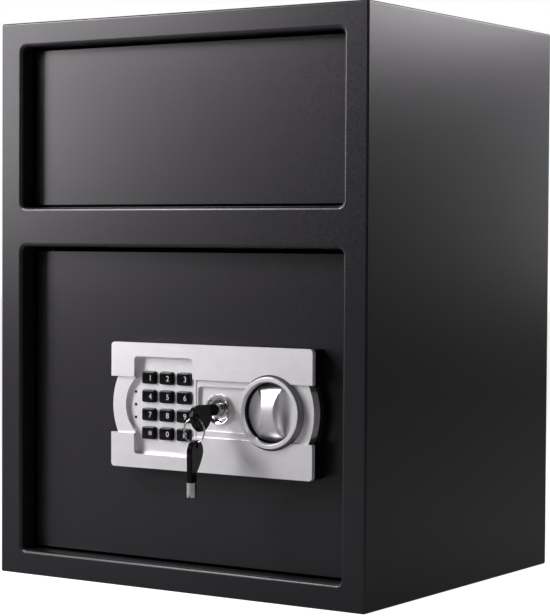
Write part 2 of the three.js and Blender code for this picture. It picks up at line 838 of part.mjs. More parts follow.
// The ring round the key lock, dished down to the barrel's face, which stands a little behind the ring's seat
function lockEscutcheon() {
  const seatY = bandFrontY + lockRecessDepth;
  const frontFace = seatY - escutcheonRise;
  const bore = barrelRadius + runningGap;
  return piece('lock_escutcheon', turnedAboutY([
    [bore, seatY],
    [escutcheonRadius - escutcheonRim, frontFace],
    [escutcheonRadius - escutcheonBevel, frontFace],
    [escutcheonRadius, frontFace + escutcheonBevel],
    [escutcheonRadius, seatY],
    [bore, seatY],
  ]), chromeFinish);
}

// Key lock, placed from the barrel's axis

const barrelFrontY = bandFrontY + lockRecessDepth + barrelSink;
const liftCamFrontY = carriageY + carriageSheet + liftCamBehindPlate;
const liftCamBackY = liftCamFrontY + liftCamSheet;

// The cam's rim rises evenly over a quarter turn, from the radius at the top to the plunger's lift more
function liftCamOutline() {
  const rim = Array.from({ length: liftCamSteps + 1 }, (_, step) => {
    const angle = quarterTurn * step / liftCamSteps;
    return [angle, liftCamRadius + plungerLift * step / liftCamSteps];
  });
  rim.push([quarterTurn + liftCamDwell, liftCamRadius + plungerLift]);
  const corners = rim.map(([angle, radius]) => [radius * Math.sin(angle), radius * Math.cos(angle)]);
  corners.push([-tailRadius * Math.sin(liftCamDwell), -tailRadius], [-tailRadius, 0]);
  return polygon(corners.reverse());
}

function lockBarrel() {
  const keywayBack = barrelFrontY + keywayDepth;
  const bodyBack = doorSheet + barrelBehindDoor;
  const keyway = cut(
    rodAlongY(keyTubeRadius + runningGap, barrelFrontY - overrun, keywayBack, 0, 0),
    rodAlongY(keyTubeRadius - keyTubeWall - runningGap, barrelFrontY - overrun - overrun, keywayBack + overrun, 0, 0),
  );
  return piece('lock_barrel', cut(join(
    rodAlongY(barrelRadius, barrelFrontY, bodyBack, 0, 0, fineSides),
    rodAlongY(tailRadius, 0, liftCamBackY, 0, 0),
    plateInXZ(liftCamOutline(), liftCamFrontY, liftCamBackY),
  ), keyway), chromeFinish);
}

// The plastic bow of a key, drawn outward from the neck, with its far end set off to one side as a lobe
function bowOutline() {
  const endY = -bowLength;
  const neckY = -bowNeckLength;
  const swellY = bowHalfWidth - bowLength;
  const shape = new THREE.Shape();
  shape.moveTo(0, -bowNeckHalfWidth);
  shape.lineTo(0, bowNeckHalfWidth);
  shape.lineTo(neckY, bowNeckHalfWidth);
  shape.quadraticCurveTo((neckY + swellY) / 2, bowNeckHalfWidth, swellY, bowHalfWidth - bowOffset);
  const pullY = swellY + (endY - swellY) * 4 / 3;
  shape.bezierCurveTo(
    pullY, bowHalfWidth - bowOffset, pullY, -bowHalfWidth - bowOffset, swellY, -bowHalfWidth - bowOffset,
  );
  shape.quadraticCurveTo((neckY + swellY) / 2, -bowHalfWidth - bowOffset / 2, neckY, -bowNeckHalfWidth);
  shape.closePath();
  shape.holes.push(hole(bowHoleFromEnd - bowLength, -bowHoleOffset, bowHoleRadius));
  return shape;
}

function keyBow(name) {
  return piece(name, plateInYZ(bowOutline(), -bowThickness / 2, bowThickness / 2, coarseSides / 2), blackPlastic);
}

function keyTube(name) {
  const inner = keyTubeRadius - keyTubeWall;
  return piece(name, turnedAboutY([
    [inner, 0], [keyTubeRadius, 0], [keyTubeRadius, keyTubeLength], [inner, keyTubeLength], [inner, 0],
  ], coarseSides), brushedSteel);
}

// The ring that hangs in the hole of the key's bow, and carries the spare key
function keyRing() {
  const geometry = new THREE.TorusGeometry(ringRadius, ringWireRadius, coarseSides / 2, fineSides);
  return piece('key_ring', geometry.rotateX(quarterTurn), chromeFinish);
}

// The spare hangs straight down: half a turn about its length sets its tube to the front of its bow,
// and then its outward direction turns from -Y to +Z
function spareKey() {
  const group = groupAt(0, -bowHoleOffset, 0, keyBow('spare_key_bow'), keyTube('spare_key_tube'));
  group.rotation.set(-quarterTurn, quarterTurn * 2, 0);
  return group;
}

// Knob, placed from its axis

const wellFloorY = bandFrontY - bezelRise + knobWellDepth;
const camFrontY = carriageY - camCarriageGap - camSheet;

// A disc with a waisted grip across it, whose crown falls away to both ends
function knobDial() {
  const backFace = wellFloorY - knobGap;
  const discFront = backFace - knobDisc;
  const gripFront = discFront - knobGripHeight;
  const crownRadius = arcRadius(knobWaistHalfHeight, knobCrownDrop);
  const sideRadius = arcRadius(knobWaistHalfHeight, knobEndHalfWidth - knobWaistHalfWidth);
  const crown = rodAlongX(crownRadius, -knobRadius, knobRadius, gripFront + crownRadius, 0, fineSides * 2);
  const sides = [-1, 1].map((side) => rodAlongY(
    sideRadius, gripFront - overrun, backFace, side * (knobWaistHalfWidth + sideRadius), 0, fineSides * 2,
  ));
  const grip = cut(
    shared(crown, rodAlongY(knobRadius, gripFront - overrun, backFace - knobDisc / 2, 0, 0, fineSides)), ...sides,
  );
  return piece('knob_dial', join(rodAlongY(knobRadius, discFront, backFace, 0, 0, fineSides), grip), brushedSteel);
}

// The knob's shaft through the door, with the crank disc and the pin that drives the bolts
function knobSpindle() {
  const camBack = camFrontY + camSheet;
  const pinEnd = carriageY + carriageSheet + crankPinProud;
  return piece('knob_spindle', join(
    rodAlongY(spindleRadius, wellFloorY - knobGap, camBack, 0, 0),
    rodAlongY(crankThrow + crankPinRadius + camRim, camFrontY, camBack, 0, 0, fineSides),
    rodAlongY(crankPinRadius, camBack - camSheet / 2, pinEnd, -crankOffset, crankOffset),
  ), zincFinish);
}

// Bolt work, placed from the lock's centre

function boltCarriage() {
  const barHalf = boltSpacing / 2 + carriageBarMargin;
  const armLeft = plungerX - boltStroke - plungerRadius - notchGap - notchEndWall;
  const slotX = knobX - crankOffset;
  const slotHalfWidth = crankPinRadius + crankSlotGap;
  const slotBottom = crankOffset - crankPinRadius - crankSlotGap;
  const slotTop = crankThrow + crankPinRadius + crankSlotGap;
  const notchX = plungerX - boltStroke;
  const notchHalf = plungerRadius + notchGap;
  const shape = polygon([
    [carriageRight, -barHalf], [carriageRight, barHalf], [carriageBarLeft, barHalf], [carriageBarLeft, armTop],
    [notchX + notchHalf, armTop], [notchX + notchHalf, armTop - notchDepth],
    [notchX - notchHalf, armTop - notchDepth], [notchX - notchHalf, armTop],
    [armLeft, armTop], [armLeft, armBottom], [carriageBarLeft, armBottom], [carriageBarLeft, -barHalf],
  ]);
  shape.holes.push(polygon([
    [slotX - slotHalfWidth, slotBottom], [slotX + slotHalfWidth, slotBottom],
    [slotX + slotHalfWidth, slotTop], [slotX - slotHalfWidth, slotTop],
  ]));
  return piece('bolt_carriage', plateInXZ(shape, carriageY, carriageY + carriageSheet), zincFinish);
}

function lockingBolt(name, z) {
  return piece(name, rodAlongX(boltRadius, carriageRight, freeEdgeX - boltTipInset, boltY, z), chromeFinish);
}

function boltGuide() {
  const half = boltSpacing / 2 + guideMargin;
  const back = boltY + boltRadius + guideDepthMargin;
  const plate = polygon([[doorSheet, -half], [back, -half], [back, half], [doorSheet, half]]);
  for (const z of [-boltSpacing / 2, boltSpacing / 2]) plate.holes.push(hole(boltY, z, boltRadius + runningGap));
  return piece('bolt_guide', plateInYZ(plate, guideLeft, guideRight), zincFinish);
}

function solenoidBody() {
  const bottom = armTop + runningGap + plungerCollarRise + plungerCollarSheet + plungerLift + solenoidCollarGap;
  return piece('solenoid_body', cut(
    block([plungerX - solenoidWidth / 2, plungerX + solenoidWidth / 2], [doorSheet, doorSheet + solenoidDepth],
      [bottom, bottom + solenoidHeight]),
    rodAlongZ(plungerRadius + runningGap, bottom - overrun, bottom + solenoidBoreDepth, plungerX, boltY),
  ), zincFinish);
}

// The plunger stands on the carriage's edge, and drops into its notch when the bolts are out.
// An arm on its collar reaches across to the key lock, and its foot rides on the barrel's cam.
function solenoidPlunger() {
  const foot = armTop + runningGap;
  const collar = foot + plungerCollarRise;
  const collarTop = collar + plungerCollarSheet;
  const footLeft = barrelX - liftFootHalfWidth;
  const footRight = barrelX + liftFootHalfWidth;
  const armRight = plungerX + liftFootHalfWidth;
  const footBottom = liftCamRadius + liftFootGap;
  const arm = polygon([
    [footLeft, footBottom], [footRight, footBottom], [footRight, collarTop - liftArmHeight],
    [armRight, collarTop - liftArmHeight], [armRight, collarTop], [footLeft, collarTop],
  ]);
  return piece('solenoid_plunger', join(
    rodAlongZ(plungerRadius, foot, foot + plungerLength, plungerX, boltY),
    rodAlongZ(plungerCollarRadius, collar, collarTop, plungerX, boltY),
    plateInXZ(arm, liftCamBackY - liftArmSheet, liftCamBackY),
  ), brushedSteel);
}

// Cover and electrics, placed from the lock's centre

function innerCover() {
  const halfHeight = coverHeight / 2;
  const innerHalf = halfHeight - coverWall;
  const shell = cut(
    block([coverLeft, coverRight], [doorSheet, coverBackY], [-halfHeight, halfHeight]),
    block([coverLeft + coverWall, coverInnerRight], [doorSheet - overrun, coverInnerBackY],
      [-innerHalf, innerHalf]),
    ...[-boltSpacing / 2, boltSpacing / 2].map((z) => rodAlongX(
      boltRadius + coverBoltGap, coverInnerRight - overrun, coverRight + overrun, boltY, z,
    )),
    rodAlongY(resetRadius + runningGap, coverInnerBackY - overrun, coverBackY + overrun, resetX, resetZ),
    block([batteryX - holderHalfWidth + holderRim, batteryX + holderHalfWidth - holderRim],
      [coverInnerBackY - overrun, coverBackY + overrun],
      [holderRim - holderHalfHeight, holderHalfHeight - holderRim]),
  );
  return piece('inner_cover', join(shell, batteryRail(1), batteryRail(-1)), blackPaint);
}

// One of the two lipped rails that the battery door slides in
function batteryRail(side) {
  const near = holderHalfHeight + runningGap;
  const lipY = coverBackY + runningGap + batteryDoorSheet + runningGap;
  const outline = [
    [coverBackY - coverWall / 2, near], [lipY, near], [lipY, near - railLip],
    [lipY + railSheet, near - railLip], [lipY + railSheet, near + railWidth],
    [coverBackY - coverWall / 2, near + railWidth],
  ].map(([y, z]) => [y, side * z]);
  const shape = polygon(side > 0 ? outline : outline.reverse());
  return plateInYZ(shape, batteryX - holderHalfWidth, batteryX + holderHalfWidth);
}

function batteryDoor() {
  const front = coverBackY + runningGap;
  return piece('battery_door', block(
    [batteryX - holderHalfWidth, batteryX + holderHalfWidth], [front, front + batteryDoorSheet],
    [-holderHalfHeight, holderHalfHeight],
  ), blackPaint);
}

function batteryHolder() {
  const front = coverInnerBackY - holderDepth;
  const innerHalfHeight = holderHalfHeight - holderWall;
  const innerHalfWidth = holderHalfWidth - holderWall;
  return piece('battery_holder', cut(
    block([batteryX - holderHalfWidth, batteryX + holderHalfWidth], [front, coverInnerBackY],
      [-holderHalfHeight, holderHalfHeight]),
    block([batteryX - innerHalfWidth, batteryX + innerHalfWidth], [front + holderWall, coverInnerBackY + overrun],
      [-innerHalfHeight, innerHalfHeight]),
  ), blackPlastic);
}

function batteryPack() {
  const y = coverInnerBackY - holderFloorGap - cellRadius;
  const firstX = batteryX - cellPitch * (batteryCells - 1) / 2;
  const cells = Array.from({ length: batteryCells }, (_, cell) => rodAlongZ(
    cellRadius, -cellLength / 2, cellLength / 2, firstX + cell * cellPitch, y,
  ));
  return piece('battery_pack', join(...cells), cellWrap);
}

function controlBoard() {
  const left = coverLeft + coverWall + boardEdgeGap;
  const half = coverHeight / 2 - boardEndGap;
  const front = doorSheet + boardStandOff;
  const shape = polygon([[left, -half], [boardRight, -half], [boardRight, half], [left, half]]);
  shape.holes.push(hole(barrelX, 0, barrelRadius + boardBarrelGap));
  const posts = [left + boardPostInset, boardRight - boardPostInset].flatMap((x) => (
    [boardPostInset - half, half - boardPostInset].map((z) => rodAlongY(
      boardPostRadius, doorSheet, front + boardSheet / 2, x, z,
    ))
  ));
  return piece('control_board', join(plateInXZ(shape, front, front + boardSheet), ...posts), greenBoard);
}

function resetButton() {
  const back = coverBackY + resetRise;
  return piece('reset_button', rodAlongY(resetRadius, back - resetLength, back, resetX, resetZ), blackPlastic);
}

// Assembly

function cabinet() {
  const bracketTop = doorOpeningTop + flangeSheet;
  const bracketBottom = doorOpeningBottom - flangeSheet;
  return [
    sidePanel('left_side_panel', -halfWidth, -innerHalfWidth),
    sidePanel('right_side_panel', innerHalfWidth, halfWidth),
    topPanel(),
    basePanel(),
    backPanel(),
    frontFrame(),
    floorMat(),
    hingeBracket('upper_hinge_bracket', bracketTop, bracketTop + hingeBracketSheet),
    hingeBracket('lower_hinge_bracket', bracketBottom - hingeBracketSheet, bracketBottom),
    strikeBar(),
    drawerBracket('drawer_bracket_left', -1),
    drawerBracket('drawer_bracket_right', 1),
    antiFishingBaffle(),
  ];
}

function depositDrawer() {
  return groupAt(
    0, pivotY, pivotZ,
    drawerFront(),
    hopperFloor(),
    hopperCheek('hopper_cheek_left', -cheekOuterX, -cheekInnerX),
    hopperCheek('hopper_cheek_right', cheekInnerX, cheekOuterX),
    drawerPin('drawer_pin_left', -1),
    drawerPin('drawer_pin_right', 1),
  );
}

// The key in the lock, turned a little about the barrel's axis, with the ring and the spare below it.
// The spare hangs a little askew on the ring's wire.
function keys() {
  const key = groupAt(0, barrelFrontY - keyStandOff, 0, keyBow('key_bow'), keyTube('key_tube'));
  key.rotation.y = keyTurn;
  const holeY = barrelFrontY - keyStandOff - bowLength + bowHoleFromEnd;
  const holeX = -bowHoleOffset * Math.sin(keyTurn);
  const holeZ = -bowHoleOffset * Math.cos(keyTurn);
  const ringZ = holeZ - ringSeat - ringRadius;
  const spareHoleZ = ringZ - ringRadius - spareSeat;
  const spare = groupAt(holeX, holeY, spareHoleZ - bowLength + bowHoleFromEnd, spareKey());
  spare.rotation.z = spareTurn;
  return [key, groupAt(holeX, holeY, ringZ, keyRing()), spare];
}

function lock() {
  return groupAt(
    lockX, 0, lockZ,
    lockBase(),
    lockFascia(),
    ...buttonCentres().map((centre, index) => keypadButton(index + 1, centre)),
    lampLightPipe(),
    groupAt(knobX, 0, 0, knobBezel(), knobDial(), knobSpindle()),
    groupAt(barrelX, 0, 0, lockEscutcheon(), lockBarrel(), ...keys()),
    boltCarriage(),
    lockingBolt('locking_bolt_upper', boltSpacing / 2),
    lockingBolt('locking_bolt_lower', -boltSpacing / 2),
    boltGuide(),
    solenoidBody(),
    solenoidPlunger(),
    innerCover(),
    batteryHolder(),
    batteryPack(),
    batteryDoor(),
    controlBoard(),
    resetButton(),
  );
}

function door() {
  const upperTop = doorTop - hingeBlockInset;
  const lowerBottom = doorBottom + hingeBlockInset;
  const pinTop = doorOpeningTop + flangeSheet + hingeBracketSheet + hingePinEndGap;
  const pinBottom = doorOpeningBottom - flangeSheet - hingeBracketSheet - hingePinEndGap;
  return groupAt(
    0, doorFaceY, 0,
    doorPlate(),
    hingeBlock('upper_hinge_block', upperTop - hingeBlockHeight, upperTop, upperTop - hingePinRoot, pinTop),
    hingeBlock('lower_hinge_block', lowerBottom, lowerBottom + hingeBlockHeight, pinBottom,
      lowerBottom + hingePinRoot),
    lock(),
  );
}

const safe = new THREE.Group();
safe.add(...cabinet(), depositDrawer(), door());

export default safe;
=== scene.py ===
"""The looks of a drop safe with deposit drawer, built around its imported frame.

Metres, +Z up. The front faces -Y, and every piece lies where the frame says.
Profiles and small outlines are written in millimetres and turned into metres by MM.
"""
import math

import bmesh
import bpy
from mathutils import Matrix, Vector

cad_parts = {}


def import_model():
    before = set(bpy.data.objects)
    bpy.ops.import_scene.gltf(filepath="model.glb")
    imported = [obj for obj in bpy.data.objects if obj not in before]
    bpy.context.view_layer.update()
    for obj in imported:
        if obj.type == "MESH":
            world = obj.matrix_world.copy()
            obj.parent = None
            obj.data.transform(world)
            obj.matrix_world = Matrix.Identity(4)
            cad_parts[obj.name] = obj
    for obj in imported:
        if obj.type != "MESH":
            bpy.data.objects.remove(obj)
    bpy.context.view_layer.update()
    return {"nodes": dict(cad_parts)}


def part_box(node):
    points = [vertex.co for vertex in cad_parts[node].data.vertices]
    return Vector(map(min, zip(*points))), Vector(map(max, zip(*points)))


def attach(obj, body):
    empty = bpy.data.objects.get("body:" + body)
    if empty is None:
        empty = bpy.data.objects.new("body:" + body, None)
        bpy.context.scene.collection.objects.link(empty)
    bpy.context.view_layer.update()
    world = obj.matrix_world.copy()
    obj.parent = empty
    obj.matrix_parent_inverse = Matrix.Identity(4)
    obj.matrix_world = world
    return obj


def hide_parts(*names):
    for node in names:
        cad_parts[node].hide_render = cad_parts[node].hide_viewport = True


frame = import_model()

MM = 0.001
nodes = frame["nodes"]

# Sizes that the frame's boxes give
CABINET_LOW, CABINET_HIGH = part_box("front_frame")[0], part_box("back_panel")[1]
FRONT_Y, BACK_Y = CABINET_LOW[1], CABINET_HIGH[1]
HALF_WIDTH = CABINET_HIGH[0]
HEIGHT = CABINET_HIGH[2]

# The cabinet's sheet and openings. An opening is its bottom, its top and the depth of its flange
SHEET = 4 * MM
FLANGE_SHEET = 3 * MM
SIDE_BORDER = 21.5 * MM
DRAWER_OPENING = (300 * MM, 430 * MM, 15 * MM)
DOOR_OPENING = (20 * MM, 268 * MM, 17 * MM)
OPENING_CORNER = 4 * MM
BEND_RADIUS = 3.2 * MM
BODY_EDGE = 1.6 * MM
ANCHOR_RADIUS = 6 * MM
ANCHOR_X, ANCHOR_Y, ANCHOR_Z = 96 * MM, 76 * MM, 70 * MM
ANCHOR_STEPS = 32
CUT_MARGIN = 1 * MM

# The lock panel's centre on the plane of the door's face
base_low, base_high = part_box("lock_base")
LOCK_X = (base_low[0] + base_high[0]) / 2
LOCK_Z = (base_low[2] + base_high[2]) / 2
DOOR_Y = base_high[1]
LOCK_WIDTH, LOCK_HEIGHT = 188.8 * MM, 98.5 * MM

# How the frame's own meshes are softened
NODE_EDGE = 0.4 * MM
WELD_DISTANCE = 0.001 * MM
FLAT_ANGLE = 0.5
FACE_WEIGHT = 80
MERGE_DISTANCE = 1e-7


# Mesh helpers

def new_object(name, mesh):
    made = bpy.data.objects.new(name, mesh)
    bpy.context.scene.collection.objects.link(made)
    return made


def from_faces(name, points, faces):
    mesh = bpy.data.meshes.new(name)
    mesh.from_pydata([tuple(p) for p in points], [], faces)
    mesh.validate()
    shape = bmesh.new()
    shape.from_mesh(mesh)
    bmesh.ops.recalc_face_normals(shape, faces=shape.faces)
    shape.to_mesh(mesh)
    shape.free()
    return new_object(name, mesh)


def loft(name, loops, closed=False):
    """A skin over loops of equal length, with a cap on each end, or joined end to end."""
    count = len(loops[0])
    points = [p for loop in loops for p in loop]
    faces = []
    rings = len(loops)
    for ring in range(rings if closed else rings - 1):
        here, above = ring * count, (ring + 1) % rings * count
        for i in range(count):
            j = (i + 1) % count
            faces.append((here + i, here + j, above + j, above + i))
    if not closed:
        faces.append(tuple(range(count)))
        faces.append(tuple((rings - 1) * count + i for i in range(count)))
    return from_faces(name, points, faces)


def full_turn(steps):
    """The angles of one whole turn in even steps."""
    return [2 * math.pi * step / steps for step in range(steps)]


def rounded_outline(x0, x1, z0, z1, radius, steps=8):
    points = []
    for x, z, start in ((x1 - radius, z0 + radius, -90), (x1 - radius, z1 - radius, 0),
                        (x0 + radius, z1 - radius, 90), (x0 + radius, z0 + radius, 180)):
        for step in range(steps + 1):
            angle = math.radians(start + 90 * step / steps)
            points.append((x + radius * math.cos(angle), z + radius * math.sin(angle)))
    return points


def circle_outline(x, z, radius, steps=64):
    return [(x + radius * math.cos(a), z + radius * math.sin(a)) for a in full_turn(steps)]


def bulged_outline(x0, x1, half, sagitta, steps=32):
    """A strip whose ends are arcs that swell by the sagitta."""
    radius = (half ** 2 + sagitta ** 2) / (2 * sagitta)
    sweep = math.asin(half / radius)
    points = []
    for centre, facing in ((x1 - radius, 0), (x0 + radius, math.pi)):
        for step in range(steps + 1):
            angle = facing - sweep + 2 * sweep * step / steps
            points.append((centre + radius * math.cos(angle), radius * math.sin(angle)))
    return points


def arc(centre_r, centre_y, radius, start, end, steps=5):
    """Points of a profile along an arc, between two angles in degrees."""
    angles = [math.radians(start + (end - start) * i / steps) for i in range(steps + 1)]
    return [(centre_r + radius * math.cos(a), centre_y + radius * math.sin(a)) for a in angles]


def bezier(points, steps):
    """Points along a Bezier curve, without its last one."""
    out = []
    for i in range(steps):
        t = i / steps
        level = [Vector(p) for p in points]
        while len(level) > 1:
            level = [a.lerp(b, t) for a, b in zip(level, level[1:])]
        out.append(tuple(level[0]))
    return out


def prism_y(name, outline, y0, y1):
    return loft(name, [[(x, y, z) for x, z in outline] for y in (y0, y1)])


def prism_z(name, outline, z0, z1):
    return loft(name, [[(x, y, z) for x, y in outline] for z in (z0, z1)])


def box(name, low, high):
    (x0, y0, z0), (x1, y1, z1) = low, high
    return prism_y(name, [(x0, z0), (x1, z0), (x1, z1), (x0, z1)], y0, y1)


def turned_y(name, profile, x, steps=128):
    """A closed ring turned about an axis along Y, from pairs of radius and y in millimetres."""
    loops = []
    for angle in full_turn(steps):
        loops.append([(x + r * MM * math.cos(angle), y * MM, r * MM * math.sin(angle))
                      for r, y in profile])
    return loft(name, loops, closed=True)


def bake(thing):
    """Applies the modifiers of a piece to its mesh."""
    graph = bpy.context.evaluated_depsgraph_get()
    mesh = bpy.data.meshes.new_from_object(thing.evaluated_get(graph))
    thing.modifiers.clear()
    old = thing.data
    thing.data = mesh
    bpy.data.meshes.remove(old)


def combine(target, operation, *tools):
    """Cuts the tools out of a piece or adds them to it, and removes them."""
    for tool in tools:
        modifier = target.modifiers.new("combine", "BOOLEAN")
        modifier.object = tool
        modifier.operation = operation
        modifier.solver = "EXACT"
    bake(target)
    for tool in tools:
        bpy.data.objects.remove(tool)


def flatten(thing, angle):
    """Joins faces that lie in one plane."""
    shape = bmesh.new()
    shape.from_mesh(thing.data)
    bmesh.ops.remove_doubles(shape, verts=shape.verts, dist=MERGE_DISTANCE)
    bmesh.ops.dissolve_limit(shape, angle_limit=math.radians(angle), verts=shape.verts,
                             edges=shape.edges)
    shape.to_mesh(thing.data)
    shape.free()


def round_edges(thing, width, segments, angle=35):
    modifier = thing.modifiers.new("round", "BEVEL")
    modifier.width = width
    modifier.segments = segments
    modifier.limit_method = "ANGLE"
    modifier.angle_limit = math.radians(angle)


def shade(thing, angle):
    """Smooth shading, where edges above an angle stay sharp."""
    thing.data.shade_smooth()
    thing.data.set_sharp_from_angle(angle=math.radians(angle))


def smooth(thing, angle):
    """Smooth shading up to an angle, with the large flat faces kept flat."""
    shade(thing, angle)
    modifier = thing.modifiers.new("normals", "WEIGHTED_NORMAL")
    modifier.keep_sharp = True
    modifier.weight = FACE_WEIGHT


def paint(thing, *finishes):
    """Gives a mesh its finishes. The first one covers it, until its faces name another."""
    thing.data.materials.clear()
    for finish in finishes:
        thing.data.materials.append(finish)


def joined(name, *things):
    """Several meshes as one object, each keeping its materials."""
    target = things[0]
    with bpy.context.temp_override(active_object=target, selected_editable_objects=list(things)):
        bpy.ops.object.join()
    target.name = name
    return target


# Materials

def material(name, color, roughness, metallic):
    made = bpy.data.materials.new(name)
    made.use_nodes = True
    shader = made.node_tree.nodes["Principled BSDF"]
    shader.inputs["Base Color"].default_value = (*color, 1)
    shader.inputs["Roughness"].default_value = roughness
    shader.inputs["Metallic"].default_value = metallic
    return made


class Nodes:
    """Short ways to add and join the nodes of one material."""

    def __init__(self, made):
        self.tree = made.node_tree
        self.shader = self.tree.nodes["Principled BSDF"]
        self.place = self.add("ShaderNodeTexCoord").outputs["Object"]

    def add(self, kind, **values):
        node = self.tree.nodes.new(kind)
        for key, value in values.items():
            setattr(node, key, value)
        return node

    def link(self, output, target):
        self.tree.links.new(output, target)

    def noise(self, scale, detail=3.0, stretch=(1, 1, 1)):
        mapping = self.add("ShaderNodeMapping")
        mapping.inputs["Scale"].default_value = stretch
        self.link(self.place, mapping.inputs["Vector"])
        noise = self.add("ShaderNodeTexNoise")
        noise.inputs["Scale"].default_value = scale
        noise.inputs["Detail"].default_value = detail
        self.link(mapping.outputs["Vector"], noise.inputs["Vector"])
        return noise.outputs["Fac"]

    def spread(self, value, low, high, start=0.3, end=0.7):
        """Maps the middle of a texture's range to values between low and high."""
        ramp = self.add("ShaderNodeMapRange")
        ramp.inputs["From Min"].default_value = start
        ramp.inputs["From Max"].default_value = end
        ramp.inputs["To Min"].default_value = low
        ramp.inputs["To Max"].default_value = high
        self.link(value, ramp.inputs["Value"])
        return ramp.outputs["Result"]

    def tint(self, value, dark, light):
        mix = self.add("ShaderNodeMix", data_type="RGBA")
        mix.inputs["A"].default_value = (*dark, 1)
        mix.inputs["B"].default_value = (*light, 1)
        self.link(value, mix.inputs["Factor"])
        self.link(mix.outputs["Result"], self.shader.inputs["Base Color"])

    def bump(self, value, strength, distance):
        bump = self.add("ShaderNodeBump")
        bump.inputs["Strength"].default_value = strength
        bump.inputs["Distance"].default_value = distance
        self.link(value, bump.inputs["Height"])
        self.link(bump.outputs["Normal"], self.shader.inputs["Normal"])


def varied(name, color, roughness, metallic=0.0, spread=0.12, rough_spread=0.04, scale=60.0,
           grain=1200.0, grain_strength=0.1, grain_depth=0.05 * MM, stretch=(1, 1, 1)):
    """A finish whose colour and roughness wander a little, over a fine grain."""
    made = material(name, color, roughness, metallic)
    n = Nodes(made)
    dark = [c * (1 - spread) for c in color]
    light = [min(1, c * (1 + spread)) for c in color]
    n.tint(n.spread(n.noise(scale), 0, 1), dark, light)
    fine = n.noise(grain, 2.0, stretch)
    rough = n.spread(fine, roughness - rough_spread, roughness + rough_spread)
    n.link(rough, n.shader.inputs["Roughness"])
    n.bump(fine, grain_strength, grain_depth)
    return made


BLACK_PAINT = varied("black_powder_coat", (0.0090, 0.0080, 0.0098), 0.32, spread=0.08,
                     grain=950, grain_strength=0.10, grain_depth=0.05 * MM)
SILVER = varied("silver_lacquer", (0.92, 0.92, 0.93), 0.41, 0.85, spread=0.03,
                rough_spread=0.05, grain=2600, grain_strength=0.06, grain_depth=0.03 * MM)
# A darker copy of the silver lacquer: painted shade for the knob ring's outer side, which faces
# away from the lamps
PAINTED_SHADE_SILVER = varied("silver_painted_shade", (0.30, 0.30, 0.31), 0.45, 0.6, spread=0.05,
                       grain=2600, grain_strength=0.06, grain_depth=0.03 * MM)
# A lighter, less metallic copy of the silver lacquer: painted light for the band's right-facing
# ends
PAINTED_LIGHT_SILVER = varied("silver_painted_light", (0.90, 0.90, 0.91), 0.5, 0.2, spread=0.03,
                      grain=2600, grain_strength=0.06, grain_depth=0.03 * MM)
BLACK_PLASTIC = varied("black_plastic", (0.004, 0.004, 0.0045), 0.17, spread=0.1,
                       grain=3000, grain_strength=0.05, grain_depth=0.02 * MM)
BUTTON_PLASTIC = varied("button_plastic", (0.005, 0.005, 0.0055), 0.17, spread=0.1,
                        grain=2500, grain_strength=0.04, grain_depth=0.02 * MM)
WHITE_INK = varied("white_ink", (0.78, 0.78, 0.78), 0.5, spread=0.03)
CHROME = varied("chrome_plate", (0.72, 0.72, 0.73), 0.12, 1.0, spread=0.03,
                rough_spread=0.03, grain=800, grain_strength=0.02)
BRUSHED = varied("brushed_steel", (0.80, 0.80, 0.81), 0.38, 0.85, spread=0.05,
                 rough_spread=0.06, grain=900, grain_strength=0.12, grain_depth=0.02 * MM,
                 stretch=(4, 1, 0.06))
NICKEL = varied("nickel_plate", (0.74, 0.72, 0.68), 0.18, 1.0, spread=0.08,
                rough_spread=0.05, grain=900, grain_strength=0.05)
ZINC = varied("zinc_plate", (0.42, 0.43, 0.44), 0.42, 0.9, spread=0.12,
              rough_spread=0.1, scale=140, grain=500, grain_strength=0.1)
FELT = varied("grey_felt", (0.075, 0.075, 0.08), 0.95, spread=0.25,
              scale=500, grain=1500, grain_strength=0.9, grain_depth=0.4 * MM)
BOARD = varied("solder_mask", (0.015, 0.09, 0.04), 0.35, spread=0.3,
               scale=90, grain=700, grain_strength=0.2)
CELL_WRAP = varied("cell_wrap", (0.11, 0.12, 0.13), 0.35, spread=0.1)
LAMP = varied("lamp_window", (0.02, 0.02, 0.022), 0.18, spread=0.1)

DULL_SPECULAR = 0.2
for dull in (BLACK_PLASTIC, BUTTON_PLASTIC):
    dull_shader = dull.node_tree.nodes["Principled BSDF"]
    dull_shader.inputs["Specular IOR Level"].default_value = DULL_SPECULAR

NODE_FINISHES = {
    BLACK_PAINT: (
        "upper_hinge_bracket", "lower_hinge_bracket", "strike_bar", "drawer_bracket_left",
        "drawer_bracket_right", "anti_fishing_baffle", "drawer_front", "hopper_floor",
        "hopper_cheek_left", "hopper_cheek_right", "door_plate", "upper_hinge_block",
        "lower_hinge_block", "inner_cover", "battery_door",
    ),
    FELT: ("floor_mat",),
    BLACK_PLASTIC: ("lock_base", "battery_holder", "reset_button"),
    CHROME: ("locking_bolt_upper", "locking_bolt_lower"),
    ZINC: (
        "drawer_pin_left", "drawer_pin_right", "knob_spindle", "bolt_carriage", "bolt_guide",
        "solenoid_body",
    ),
    BRUSHED: ("solenoid_plunger",),
    BOARD: ("control_board",),
    CELL_WRAP: ("battery_pack",),
    LAMP: ("lamp_light_pipe",),
}


def shade_smooth_nodes():
    """A node group that sets smooth shading, for the frame's own meshes."""
    group = bpy.data.node_groups.new("smooth_faces", "GeometryNodeTree")
    for direction in ("INPUT", "OUTPUT"):
        group.interface.new_socket("Geometry", in_out=direction,
                                   socket_type="NodeSocketGeometry")
    start = group.nodes.new("NodeGroupInput")
    faces = group.nodes.new("GeometryNodeSetShadeSmooth")
    end = group.nodes.new("NodeGroupOutput")
    group.links.new(start.outputs[0], faces.inputs["Geometry"])
    group.links.new(faces.outputs["Geometry"], end.inputs[0])
    return group


SMOOTH_FACES = shade_smooth_nodes()


